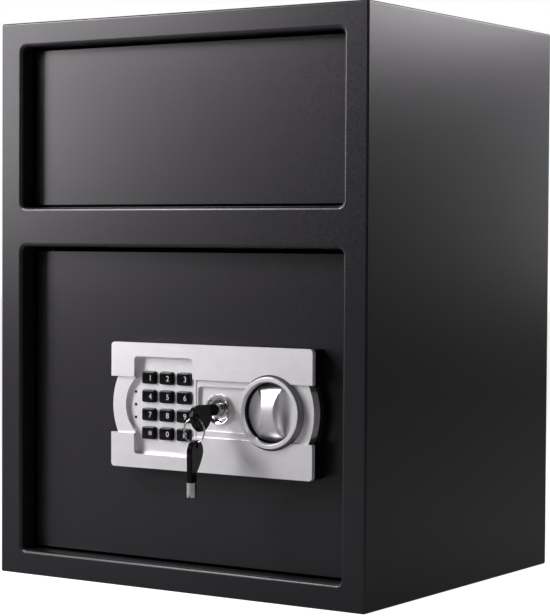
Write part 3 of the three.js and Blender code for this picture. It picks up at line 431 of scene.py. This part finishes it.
def dress(node, finish):
    """Gives a node of the frame its finish and softly rounded edges. Its mesh stays as it is."""
    thing = nodes[node]
    thing.material_slots[0].material = finish
    weld = thing.modifiers.new("weld", "WELD")
    weld.merge_threshold = WELD_DISTANCE
    planar = thing.modifiers.new("planar", "DECIMATE")
    planar.decimate_type = "DISSOLVE"
    planar.angle_limit = math.radians(FLAT_ANGLE)
    round_edges(thing, NODE_EDGE, 2)
    faces = thing.modifiers.new("smooth", "NODES")
    faces.node_group = SMOOTH_FACES
    normals = thing.modifiers.new("normals", "WEIGHTED_NORMAL")
    normals.keep_sharp = False
    normals.weight = FACE_WEIGHT


# Cabinet shell: folded and welded sheet, painted as one

def opening_loop(opening, grow, y):
    bottom, top, _ = opening
    half = HALF_WIDTH - SIDE_BORDER + grow
    outline = rounded_outline(-half, half, bottom - grow, top + grow, OPENING_CORNER + grow)
    return [(x, y, z) for x, z in outline]


def opening_cutter(opening, steps=8):
    """The space of an opening, which widens at the front where the sheet bends inwards."""
    loops = [opening_loop(opening, BEND_RADIUS, FRONT_Y - CUT_MARGIN)]
    for step in range(steps + 1):
        angle = math.pi / 2 * step / steps
        loops.append(opening_loop(opening, BEND_RADIUS * (1 - math.sin(angle)),
                                  FRONT_Y + BEND_RADIUS * (1 - math.cos(angle))))
    loops.append(opening_loop(opening, 0, FRONT_Y + opening[2] + CUT_MARGIN))
    return loft("opening_cutter", loops)


def flange_block(opening):
    return loft("flange_block", [
        opening_loop(opening, FLANGE_SHEET, FRONT_Y + SHEET / 2),
        opening_loop(opening, FLANGE_SHEET, FRONT_Y + opening[2]),
    ])


def anchor_drills():
    drills = []
    for x in (-ANCHOR_X, ANCHOR_X):
        for y in (-ANCHOR_Y, ANCHOR_Y):
            drills.append(prism_z("drill", circle_outline(x, y, ANCHOR_RADIUS, ANCHOR_STEPS),
                                  -CUT_MARGIN, SHEET + CUT_MARGIN))
        for z in (ANCHOR_Z, HEIGHT - ANCHOR_Z):
            drills.append(prism_y("drill", circle_outline(x, z, ANCHOR_RADIUS, ANCHOR_STEPS),
                                  BACK_Y - SHEET - CUT_MARGIN, BACK_Y + CUT_MARGIN))
    return drills


def cabinet_shell():
    shell = box("cabinet_shell", (-HALF_WIDTH, FRONT_Y, 0), (HALF_WIDTH, BACK_Y, HEIGHT))
    round_edges(shell, BODY_EDGE, 5)
    bake(shell)
    inside = HALF_WIDTH - SHEET
    combine(shell, "DIFFERENCE", box("cavity", (-inside, FRONT_Y + SHEET, SHEET),
                                     (inside, BACK_Y - SHEET, HEIGHT - SHEET)))
    openings = (DRAWER_OPENING, DOOR_OPENING)
    combine(shell, "UNION", *[flange_block(opening) for opening in openings])
    combine(shell, "DIFFERENCE", *[opening_cutter(opening) for opening in openings])
    combine(shell, "DIFFERENCE", *anchor_drills())
    flatten(shell, 0.1)
    smooth(shell, 50)
    paint(shell, BLACK_PAINT)
    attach(shell, "cabinet")
    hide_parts("left_side_panel", "right_side_panel", "top_panel", "base_panel",
                "back_panel", "front_frame")


# Lock panel, drawn from its centre on the door's face

BASE_PLATE, BASE_RISE, FASCIA_SHEET = 6 * MM, 7 * MM, 4 * MM
PANEL_CORNER, PANEL_EDGE, PAINTED_LIGHT_END_DEPTH = 3 * MM, 0.45 * MM, 3 * MM
BAND_HALF, BAND_DROP, BAND_SAGITTA = 22.2 * MM, 2.5 * MM, 5 * MM
KEYPAD_X, KEYPAD_WIDTH, KEYPAD_HEIGHT = -43.6 * MM, 56.4 * MM, 77 * MM
KEYPAD_CORNER, KEYPAD_WALL, KEYPAD_FLOOR = 3 * MM, 2 * MM, 2 * MM
KEYPAD_DEPTH, KEYPAD_BULGE, KEYPAD_BULGE_HALF = 6 * MM, 10 * MM, 21.4 * MM
PAN_OVERLAP, POCKET_GAP = 2 * MM, 1.3 * MM
BARREL_X, KNOB_X = 6.9 * MM, 56.9 * MM
BARREL_RADIUS, BEZEL_RADIUS = 7.5 * MM, 28.5 * MM
RECESS_LEFT, RECESS_HALF, RECESS_DEPTH = -11.865 * MM, 17.2 * MM, 2.5 * MM
BASE_FRONT = -BASE_PLATE - BASE_RISE
BAR_FRONT = -(BASE_PLATE + BASE_RISE + FASCIA_SHEET)
BAND_FRONT = BAR_FRONT + BAND_DROP
KEYPAD_FLOOR_Y = BAR_FRONT + KEYPAD_DEPTH
SLIDE_GAP, FIT_GAP, RUN_GAP = 0.5 * MM, 0.2 * MM, 0.3 * MM
LAMP_RADIUS, LAMP_OUTSIDE, LAMP_PITCH = 1.3 * MM, 2.6 * MM, 10 * MM
BUTTON_PITCH_X, BUTTON_PITCH_Z = 16.8 * MM, 14.5 * MM
BUTTON_WIDTH, BUTTON_HEIGHT, BUTTON_CORNER = 12.8 * MM, 9.7 * MM, 1.6 * MM
BUTTON_RISE, BUTTON_SKIRT = 3 * MM, 1.2 * MM
BUTTON_LABELS = "123456789*0#"
LABEL_X, LABEL_RISE, LABEL_HALF_DEPTH = 2.2 * MM, 0.02 * MM, 0.05 * MM
DIGIT_HEIGHT, STAR_HEIGHT = 6.2 * MM, 9 * MM


def to_lock(thing):
    """Moves a mesh drawn from the lock's centre to its place on the door."""
    thing.data.transform(Matrix.Translation((LOCK_X, DOOR_Y, LOCK_Z)))


def keypad_outline(grow):
    half = KEYPAD_WIDTH / 2 + grow
    tall = KEYPAD_HEIGHT / 2 + grow
    return rounded_outline(KEYPAD_X - half, KEYPAD_X + half, -tall, tall, KEYPAD_CORNER + grow)


def keypad_bulge_outline():
    left = KEYPAD_X - KEYPAD_WIDTH / 2 - KEYPAD_BULGE
    return bulged_outline(left, KEYPAD_X + KEYPAD_BULGE, KEYPAD_BULGE_HALF, KEYPAD_BULGE)


def button_centres():
    """Four rows of three, from the top left."""
    return [(KEYPAD_X + (column - 1) * BUTTON_PITCH_X, (1.5 - row) * BUTTON_PITCH_Z)
            for row in range(4) for column in range(3)]


def lamp_centres():
    x = KEYPAD_X - KEYPAD_WIDTH / 2 - LAMP_OUTSIDE
    return [(x, z) for z in (LAMP_PITCH, 0, -LAMP_PITCH)]


def button_outline(x, z, grow, steps=6):
    return rounded_outline(x - BUTTON_WIDTH / 2 - grow, x + BUTTON_WIDTH / 2 + grow,
                           z - BUTTON_HEIGHT / 2 - grow, z + BUTTON_HEIGHT / 2 + grow,
                           BUTTON_CORNER + grow, steps)


def fascia_cuts(back):
    """The recesses and holes of the lock panel, down to a plane behind it."""
    bar_cut, band_cut = BAR_FRONT - CUT_MARGIN, BAND_FRONT - CUT_MARGIN
    floor_back = KEYPAD_FLOOR_Y + KEYPAD_FLOOR
    pocket_half = BUTTON_PITCH_Z * 1.5 + BUTTON_HEIGHT / 2 + POCKET_GAP
    recess = rounded_outline(RECESS_LEFT, KNOB_X, -RECESS_HALF, RECESS_HALF, KEYPAD_CORNER)
    barrel = circle_outline(BARREL_X, 0, BARREL_RADIUS + SLIDE_GAP)
    well = circle_outline(KNOB_X, 0, BEZEL_RADIUS + FIT_GAP, 128)
    cuts = [
        prism_y("keypad", keypad_outline(0), bar_cut, KEYPAD_FLOOR_Y),
        prism_y("bulge", keypad_bulge_outline(), bar_cut, KEYPAD_FLOOR_Y),
        box("pocket", (KEYPAD_X - KEYPAD_WIDTH / 2 - KEYPAD_BULGE / 2, floor_back, -pocket_half),
            (KEYPAD_X + KEYPAD_WIDTH / 2, back, pocket_half)),
        prism_y("recess", recess, band_cut, BAND_FRONT + RECESS_DEPTH),
        prism_y("barrel", barrel, BAR_FRONT, back),
        prism_y("well", well, bar_cut, back),
    ]
    through = (KEYPAD_FLOOR_Y - CUT_MARGIN, floor_back + CUT_MARGIN)
    for x, z in button_centres():
        cuts.append(prism_y("button_hole", button_outline(x, z, RUN_GAP), *through))
    for x, z in lamp_centres():
        cuts.append(prism_y("lamp_hole", circle_outline(x, z, LAMP_RADIUS, 24), *through))
    return cuts


def lock_fascia():
    half, tall = LOCK_WIDTH / 2, LOCK_HEIGHT / 2
    fascia = prism_y("lock_fascia_shell", rounded_outline(-half, half, -tall, tall, PANEL_CORNER),
                     BAR_FRONT, BASE_FRONT)
    combine(fascia, "DIFFERENCE", box(
        "band_cut", (-half - CUT_MARGIN, BAR_FRONT - CUT_MARGIN, -BAND_HALF),
        (half + CUT_MARGIN, CUT_MARGIN, BAND_HALF),
    ))
    band = prism_y("band", bulged_outline(-half, half, BAND_HALF, BAND_SAGITTA),
                   BAND_FRONT, -BASE_PLATE)
    pan = prism_y("pan", keypad_outline(KEYPAD_WALL),
                  BASE_FRONT - PAN_OVERLAP, KEYPAD_FLOOR_Y + KEYPAD_FLOOR)
    combine(fascia, "UNION", band, pan)
    combine(fascia, "DIFFERENCE", *fascia_cuts(CUT_MARGIN))
    flatten(fascia, 0.3)
    round_edges(fascia, PANEL_EDGE, 3, 50)
    bake(fascia)
    smooth(fascia, 60)
    paint(fascia, SILVER, PAINTED_LIGHT_SILVER)
    # The faces at the band's right end that face right take the lighter silver, as painted light
    for face in fascia.data.polygons:
        if face.normal.x > 0.5 and face.center.x > half - PAINTED_LIGHT_END_DEPTH:
            face.material_index = 1
    to_lock(fascia)
    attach(fascia, "door")
    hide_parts("lock_fascia")


def digit(label, x, y, z, height):
    """A label in raised ink, centred on its own outline and facing the front."""
    curve = bpy.data.curves.new("digit", "FONT")
    curve.body = label
    curve.size = height
    curve.align_x = "CENTER"
    curve.align_y = "CENTER"
    curve.extrude = LABEL_HALF_DEPTH
    curve.resolution_u = 4
    text = new_object("digit", curve)
    graph = bpy.context.evaluated_depsgraph_get()
    mesh = bpy.data.meshes.new_from_object(text.evaluated_get(graph))
    bpy.data.objects.remove(text)
    for axis in (0, 1):
        places = [vertex.co[axis] for vertex in mesh.vertices]
        offset = [0, 0, 0]
        offset[axis] = -(min(places) + max(places)) / 2
        mesh.transform(Matrix.Translation(offset))
    mesh.transform(Matrix.Translation((x, y, z)) @ Matrix.Rotation(math.pi / 2, 4, "X"))
    made = new_object("digit", mesh)
    paint(made, WHITE_INK)
    return made


def button_loops(x, z):
    """The outlines of one button from its hidden skirt to its domed front."""
    front = KEYPAD_FLOOR_Y - BUTTON_RISE
    lip = KEYPAD_FLOOR_Y + KEYPAD_FLOOR + RUN_GAP
    # Growth of the outline, and the distance behind the front
    dome = [(0, 1.1), (-0.1, 0.75), (-0.35, 0.42), (-0.75, 0.2), (-1.4, 0.08), (-2.4, 0.02)]
    profile = [(0.8, lip + BUTTON_SKIRT), (0.8, lip), (0, lip)]
    profile += [(grow, front + depth * MM) for grow, depth in dome]
    # An outline can shrink until its corners are nearly sharp. From there it is scaled
    least = 0.1 * MM - BUTTON_CORNER
    loops = []
    for grow, y in profile:
        grown = grow * MM
        outline = button_outline(x, z, max(grown, least))
        if grown < least:
            scale_x = (BUTTON_WIDTH / 2 + grown) / (BUTTON_WIDTH / 2 + least)
            scale_z = (BUTTON_HEIGHT / 2 + grown) / (BUTTON_HEIGHT / 2 + least)
            outline = [(x + (u - x) * scale_x, z + (v - z) * scale_z) for u, v in outline]
        loops.append([(u, y, v) for u, v in outline])
    return loops


def keypad_buttons():
    """Domed keys with soft edges. The digit of each stands in the right half of it."""
    label_y = KEYPAD_FLOOR_Y - BUTTON_RISE - LABEL_RISE
    for index, (x, z) in enumerate(button_centres()):
        key = loft(f"key_cap_{index + 1}", button_loops(x, z))
        shade(key, 60)
        paint(key, BUTTON_PLASTIC)
        label = BUTTON_LABELS[index]
        height = STAR_HEIGHT if label == "*" else DIGIT_HEIGHT
        key = joined(key.name, key, digit(label, x + LABEL_X, label_y, z, height))
        to_lock(key)
        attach(key, f"button_{index + 1}")
        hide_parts(f"button_{index + 1}")


def turned_piece(name, profile, x, finishes, body, node, angle=40):
    made = turned_y(name, profile, x)
    smooth(made, angle)
    paint(made, *finishes)
    to_lock(made)
    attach(made, body)
    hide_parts(node)
    return made


def knob_bezel():
    """A flat-faced ring with a sloping lip inside and a tapered side outside, round a well."""
    bore, well, outside = 4.3, 22.4, 28.5
    floor, back, lip_foot, taper_foot = -10.9, -6, -17.5, -14.5
    face_inside, face_outside, face_y, edge = 24.15, 26.6, -20.2, 0.3
    corner = 0.5
    profile = [
        (bore, floor), (well, floor), *arc(well, floor - corner, corner, 90, 0, 3),
        (well + corner, lip_foot), *arc(face_inside, face_y, edge, 198, 270, 4),
        *arc(face_outside, face_y, edge, 270, 345, 4), (outside, taper_foot),
        (outside, back), (bore, back),
    ]
    finishes = (SILVER, BLACK_PLASTIC, BRUSHED, PAINTED_SHADE_SILVER)
    ring = turned_piece("knob_ring", profile, KNOB_X, finishes, "door",
                        "knob_bezel")
    # The well, in black as painted shade, the lip, and the tapered side, in the darker silver as
    # painted shade, by their distance from the axis
    painted_shade_well_reach, lip_reach, painted_shade_side_start = 22.95 * MM, 23.8 * MM, 26.95 * MM
    for face in ring.data.polygons:
        away = math.hypot(face.center.x - LOCK_X - KNOB_X, face.center.z - LOCK_Z)
        if away < lip_reach:
            face.material_index = 1 if away < painted_shade_well_reach else 2
        elif away > painted_shade_side_start:
            face.material_index = 3


def lock_escutcheon():
    """A dished collar round the key barrel, with a rounded rim."""
    bore, outside, back = 7.8, 11.6, -12
    dish = bezier([(bore, -12.05), (8.7, -13.3), (11.15, -14.66)], 8)
    rim = arc(11.3, -14.4, 0.3, 240, 360, 5)[1:]
    profile = [(bore, back), *dish, *rim, (outside, back)]
    turned_piece("lock_collar", profile, BARREL_X, (CHROME,), "door",
                 "lock_escutcheon", 50)


# The knob, in millimetres from its axis. Its front faces -y

DIAL_RADIUS, DIAL_BACK, DIAL_EDGE, DIAL_RIM = 22.4, -11.5, 0.8, 0.3
DIAL_RINGS, DIAL_STEPS = 100, 256
DISC_FRONT, HOLLOW_DEPTH, HOLLOW_X, HOLLOW_STRETCH, HOLLOW_SPREAD = -13.9, 0.8, 13.5, 0.25, 40
GRIP_HALF_HEIGHT, GRIP_WAIST, GRIP_FLARE, GRIP_FRONT, GRIP_CROWN = 17, 5.8, 3.0, 21.8, 5.2
SWEEP_RISE, SWEEP_START, SWEEP_REACH, SWEEP_POWER = 3.4, 0.3, 5.5, 2.2
SIDE_START, SIDE_WIDTH = 0.6, 1.1


def arc_rise(along, half_chord, sagitta):
    """How far an arc has left its tangent at a distance along it."""
    radius = (half_chord ** 2 + sagitta ** 2) / (2 * sagitta)
    return radius - math.sqrt(radius ** 2 - along ** 2)


def grip_surface(x, z):
    """The knob's front: a crowned, waisted grip whose sides sweep out into a hollow disc."""
    away = abs(x)
    bow = ((away - HOLLOW_X) ** 2 + HOLLOW_STRETCH * z ** 2) / HOLLOW_SPREAD
    floor = DISC_FRONT + HOLLOW_DEPTH * math.exp(-bow)
    rise = floor + GRIP_FRONT - arc_rise(z, GRIP_HALF_HEIGHT, GRIP_CROWN)
    inside = GRIP_WAIST + arc_rise(z, GRIP_HALF_HEIGHT, GRIP_FLARE) - away
    outwards = max(0.0, -inside - SWEEP_START) / SWEEP_REACH
    sweep = min(SWEEP_RISE, max(0.0, rise)) * max(0.0, 1 - outwards) ** SWEEP_POWER
    t = min(1.0, max(0.0, (inside + SIDE_START) / SIDE_WIDTH))
    t = t * t * (3 - 2 * t)
    return floor - sweep - (rise - sweep) * t


def knob_dial():
    """A disc with a waisted grip across it, as one height field on rings."""
    loops = []
    for ring in range(1, DIAL_RINGS + 1):
        r = DIAL_RADIUS * ring / DIAL_RINGS
        fall = max(0.0, r - (DIAL_RADIUS - DIAL_EDGE))
        drop = DIAL_EDGE - math.sqrt(max(0.0, DIAL_EDGE ** 2 - fall ** 2))
        loop = []
        for angle in full_turn(DIAL_STEPS):
            x, z = r * math.cos(angle), r * math.sin(angle)
            y = min(grip_surface(x, z) + drop, DIAL_BACK - DIAL_RIM)
            loop.append((KNOB_X + x * MM, y * MM, z * MM))
        loops.append(loop)
    loops.append([(x, DIAL_BACK * MM, z) for x, _, z in loops[-1]])
    dial = loft("knob_grip", loops)
    shade(dial, 60)
    paint(dial, BRUSHED)
    to_lock(dial)
    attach(dial, "knob")
    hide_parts("knob_dial")


def lift_cam():
    """The cam behind the door, whose rim rises evenly over a quarter turn."""
    start, lift, steps, heel = 9, 3, 24, 5
    front, back = 21.6, 23.6
    rim = [(90 * i / steps, start + lift * i / steps) for i in range(steps + 1)]
    rim.append((100, start + lift))
    corners = [(r * math.sin(math.radians(a)), r * math.cos(math.radians(a))) for a, r in rim]
    corners += [(-heel * math.sin(math.radians(10)), -heel), (-heel, 0)]
    outline = [(BARREL_X + x * MM, z * MM) for x, z in corners]
    return prism_y("lift_cam", outline, front * MM, back * MM)


def lock_barrel():
    """A cylinder with a ring-shaped keyway round a pin, a notch above it, and its cam."""
    axis, pin, keyway, shaft, body_radius = 0.01, 2.5, 4.3, 5, 7.5
    front, shoulder, back = -11.0, 8, 23.4
    keyway_end = front + 12
    body = turned_y("lock_cylinder", [
        (pin, keyway_end), (pin, front + 0.9), *arc(2.2, front + 0.8, 0.3, 0, -90, 2),
        (axis, front + 0.5), (axis, back), (shaft, back), (shaft, shoulder),
        (body_radius, shoulder), *arc(7.0, front + 0.5, 0.5, 0, -90, 3),
        *arc(4.7, front + 0.4, 0.4, -90, -180, 3), (keyway, keyway_end),
    ], BARREL_X, 96)
    notch_half = 0.6 * MM
    notch = box("notch", (BARREL_X - notch_half, (front - 1) * MM, 5.0 * MM),
                (BARREL_X + notch_half, (front + 1.2) * MM, 9.5 * MM))
    combine(body, "UNION", lift_cam())
    combine(body, "DIFFERENCE", notch)
    smooth(body, 40)
    paint(body, CHROME)
    to_lock(body)
    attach(body, "lock_barrel")
    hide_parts("lock_barrel")


# Keys, in millimetres: the bow's outline is drawn in y and z from the end of its neck

BOW_LENGTH, BOW_HALF, BOW_OFFSET, NECK_HALF, NECK_LENGTH = 32, 10.25, 5.25, 4.5, 7
HOLE_FROM_END, HOLE_OFFSET, HOLE_RADIUS, BOW_THICKNESS = 3.8, 4, 2.4, 4.5
BOW_EDGE = 0.65 * MM
KEY_TURN, SPARE_TURN = math.radians(-16), math.radians(9.5)
KEY_NECK_Y = -18.5
RING_RADIUS, RING_WIRE, RING_STEPS, WIRE_STEPS = 9.4, 0.65, 120, 14
RING_BELOW_HOLE, SPARE_BELOW_RING = 0.7, 1.3


def bow_outline():
    swell = BOW_HALF - BOW_LENGTH
    pull = swell + (-BOW_LENGTH - swell) * 4 / 3
    top, bottom = BOW_HALF - BOW_OFFSET, -BOW_HALF - BOW_OFFSET
    middle = (-NECK_LENGTH + swell) / 2
    waist = -BOW_HALF - BOW_OFFSET / 2
    points = [(0, -NECK_HALF), (0, NECK_HALF)]
    points += bezier([(-NECK_LENGTH, NECK_HALF), (middle, NECK_HALF), (swell, top)], 10)
    points += bezier([(swell, top), (pull, top), (pull, bottom), (swell, bottom)], 28)
    points += bezier([(swell, bottom), (middle, waist), (-NECK_LENGTH, -NECK_HALF)], 12)
    points.append((-NECK_LENGTH, -NECK_HALF))
    return points


def slab_x(name, outline, half):
    """A flat piece of the key's thickness direction, from pairs of y and z."""
    return loft(name, [[(x * MM, y * MM, z * MM) for y, z in outline] for x in (-half, half)])


def key_bow(name):
    half = BOW_THICKNESS / 2
    bow = slab_x(name, bow_outline(), half)
    hole_y = HOLE_FROM_END - BOW_LENGTH
    hole = circle_outline(hole_y, -HOLE_OFFSET, HOLE_RADIUS, 48)
    combine(bow, "DIFFERENCE", slab_x("drill", hole, half + 1))
    flatten(bow, 0.5)
    round_edges(bow, BOW_EDGE, 4, 50)
    bake(bow)
    smooth(bow, 60)
    paint(bow, BLACK_PLASTIC)
    return bow


def key_tube(name):
    bore, outside, length, chamfer = 2.8, 4.0, 11, 0.2
    tube = turned_y(name, [
        (bore, 0), (outside, 0), (outside, 10.6), (3.8, length), (bore + chamfer, length),
        (bore, length - chamfer),
    ], 0, 64)
    slot = box("slot", (-0.7 * MM, 9.2 * MM, 2 * MM), (0.7 * MM, 12 * MM, 5 * MM))
    combine(tube, "DIFFERENCE", slot)
    smooth(tube, 40)
    paint(tube, NICKEL)
    return tube


def place_key(prefix, matrix, body, bow_node, tube_node):
    for thing, slot, node in ((key_bow(prefix + "_grip"), "black_plastic", bow_node),
                              (key_tube(prefix + "_shank"), "brushed_steel", tube_node)):
        thing.data.transform(matrix)
        to_lock(thing)
        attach(thing, body)
        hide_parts(node)


def keys_and_ring():
    """The key in the barrel, the ring through its bow, and the spare that hangs from the ring."""
    key = (Matrix.Translation((BARREL_X, KEY_NECK_Y * MM, 0))
           @ Matrix.Rotation(KEY_TURN, 4, "Y"))
    place_key("key", key, "key", "key_bow", "key_tube")
    hole_x = BARREL_X / MM - HOLE_OFFSET * math.sin(KEY_TURN)
    hole_y = KEY_NECK_Y - BOW_LENGTH + HOLE_FROM_END
    hole_z = -HOLE_OFFSET * math.cos(KEY_TURN)
    ring_z = hole_z - RING_BELOW_HOLE - RING_RADIUS
    spare_z = ring_z - RING_RADIUS - SPARE_BELOW_RING - BOW_LENGTH + HOLE_FROM_END
    spare = (Matrix.Translation((hole_x * MM, hole_y * MM, spare_z * MM))
             @ Matrix.Rotation(SPARE_TURN, 4, "Z")
             @ Matrix.Translation((0, -HOLE_OFFSET * MM, 0))
             @ Matrix.Rotation(-math.pi / 2, 4, "X") @ Matrix.Rotation(math.pi, 4, "Y"))
    place_key("spare_key", spare, "spare_key", "spare_key_bow", "spare_key_tube")
    wire = [(RING_RADIUS + RING_WIRE * math.cos(b), RING_WIRE * math.sin(b))
            for b in full_turn(WIRE_STEPS)]
    loops = [[((hole_x + r * math.cos(a)) * MM, (hole_y + y) * MM,
               (ring_z + r * math.sin(a)) * MM) for r, y in wire]
             for a in full_turn(RING_STEPS)]
    ring = loft("split_ring", loops, closed=True)
    ring.data.shade_smooth()
    paint(ring, CHROME)
    to_lock(ring)
    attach(ring, "key_ring")
    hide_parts("key_ring")


# Floor, lights and camera

FLOOR_HALF, FLOOR_GREY, FLOOR_GLOW = 6, 0.6, 0.88
WHITE, WORLD_DIM = (1, 1, 1, 1), 0.02
LIGHT_TINT, LIGHT_DISTANCE = (1, 0.96, 1), 1.6
SAFE_MIDDLE = Vector((0, 0, HEIGHT / 2))
SAFE_UPPER = Vector((0, 0, 0.42))

# Name, azimuth and elevation in degrees, width, height, power. Azimuth 0 stands in front
FAR_LIGHTS = (
    ("front_left_high", -40, 30, 0.45, 0.4, 7.6),
    ("front_left_low", -49, 10, 0.5, 0.4, 6.6),
    ("front_right", 50, 12, 0.6, 0.6, 0.9),
    ("back_right", 150, 25, 0.55, 0.45, 3.0),
    ("back_low", 164, 7, 0.55, 0.45, 1.7),
)
# Name, place, width, height, power
NEAR_LIGHTS = (
    ("top_left", (-0.42, -0.54, 0.67), 0.25, 0.2, 3.0),
    ("top_right", (0.47, 0.50, 0.65), 0.3, 0.3, 1.9),
)

CAMERA_PLACE, CAMERA_LENS, CAMERA_REACH = (0.9568, -1.4548, 0.2743), 121.7, 50
CAMERA_AZIMUTH, CAMERA_ELEVATION, CAMERA_ROLL = 33.45, 1.859, 0.335


def by_camera_ray(tree, unseen, seen, target):
    """One shader for the rays that come straight from the camera, another for all the rest."""
    mix = tree.nodes.new("ShaderNodeMixShader")
    path = tree.nodes.new("ShaderNodeLightPath")
    tree.links.new(path.outputs["Is Camera Ray"], mix.inputs[0])
    tree.links.new(unseen.outputs[0], mix.inputs[1])
    tree.links.new(seen.outputs[0], mix.inputs[2])
    tree.links.new(mix.outputs[0], target)


def light_source(tree, kind, strength):
    source = tree.nodes.new(kind)
    source.inputs["Color"].default_value = WHITE
    source.inputs["Strength"].default_value = strength
    return source


def backdrop():
    """A pale floor that takes the object's shadow and looks white to the camera."""
    side = FLOOR_HALF
    corners = [(-side, -side, 0), (side, -side, 0), (side, side, 0), (-side, side, 0)]
    floor = from_faces("floor", corners, [(0, 1, 2, 3)])
    made = bpy.data.materials.new("pale_floor")
    made.use_nodes = True
    tree = made.node_tree
    tree.nodes.clear()
    out = tree.nodes.new("ShaderNodeOutputMaterial")
    diffuse = tree.nodes.new("ShaderNodeBsdfDiffuse")
    diffuse.inputs["Color"].default_value = (FLOOR_GREY, FLOOR_GREY, FLOOR_GREY, 1)
    glow = light_source(tree, "ShaderNodeEmission", FLOOR_GLOW)
    lit = tree.nodes.new("ShaderNodeAddShader")
    tree.links.new(diffuse.outputs[0], lit.inputs[0])
    tree.links.new(glow.outputs[0], lit.inputs[1])
    by_camera_ray(tree, diffuse, lit, out.inputs["Surface"])
    floor.data.materials.append(made)


def world():
    """White behind the object, and a dim room for all other rays."""
    made = bpy.data.worlds.new("studio")
    bpy.context.scene.world = made
    made.use_nodes = True
    tree = made.node_tree
    tree.nodes.clear()
    out = tree.nodes.new("ShaderNodeOutputWorld")
    white = light_source(tree, "ShaderNodeBackground", 1)
    dim = light_source(tree, "ShaderNodeBackground", WORLD_DIM)
    by_camera_ray(tree, dim, white, out.inputs["Surface"])


def direction(azimuth, elevation):
    """The unit vector towards an azimuth and an elevation in radians."""
    return Vector((math.sin(azimuth) * math.cos(elevation),
                   -math.cos(azimuth) * math.cos(elevation), math.sin(elevation)))


def soft_box(name, target, towards, distance, width, height, power):
    light = bpy.data.lights.new(name, "AREA")
    light.shape = "RECTANGLE"
    light.size = width
    light.size_y = height
    light.energy = power
    light.color = LIGHT_TINT
    lamp = bpy.data.objects.new(name, light)
    lamp.location = target + towards * distance
    lamp.rotation_euler = towards.to_track_quat("Z", "Y").to_euler()
    bpy.context.scene.collection.objects.link(lamp)


def lights():
    """Far soft boxes that face the middle of the safe, and near ones that face its upper part."""
    for name, azimuth, elevation, width, height, power in FAR_LIGHTS:
        towards = direction(math.radians(azimuth), math.radians(elevation))
        soft_box(name, SAFE_MIDDLE, towards, LIGHT_DISTANCE, width, height, power)
    for name, place, width, height, power in NEAR_LIGHTS:
        reach = Vector(place) - SAFE_UPPER
        soft_box(name, SAFE_UPPER, reach.normalized(), reach.length, width, height, power)


def camera():
    azimuth, elevation = math.radians(CAMERA_AZIMUTH), math.radians(CAMERA_ELEVATION)
    roll = math.radians(CAMERA_ROLL)
    back = direction(azimuth, elevation)
    right = Vector((math.cos(azimuth), math.sin(azimuth), 0))
    up = back.cross(right)
    turned_right = math.cos(roll) * right + math.sin(roll) * up
    turned_up = -math.sin(roll) * right + math.cos(roll) * up
    data = bpy.data.cameras.new("camera")
    data.sensor_fit = "AUTO"
    data.sensor_width = 36
    data.lens = CAMERA_LENS
    data.clip_end = CAMERA_REACH
    cam = bpy.data.objects.new("camera", data)
    cam.matrix_world = Matrix.Translation(CAMERA_PLACE) @ Matrix(
        (turned_right, turned_up, back)).transposed().to_4x4()
    bpy.context.scene.collection.objects.link(cam)
    bpy.context.scene.camera = cam


for finish, names in NODE_FINISHES.items():
    for name in names:
        dress(name, finish)
cabinet_shell()
lock_fascia()
keypad_buttons()
knob_bezel()
lock_escutcheon()
knob_dial()
lock_barrel()
keys_and_ring()

backdrop()
world()
lights()
camera()
bpy.context.scene.view_settings.view_transform = "Standard"
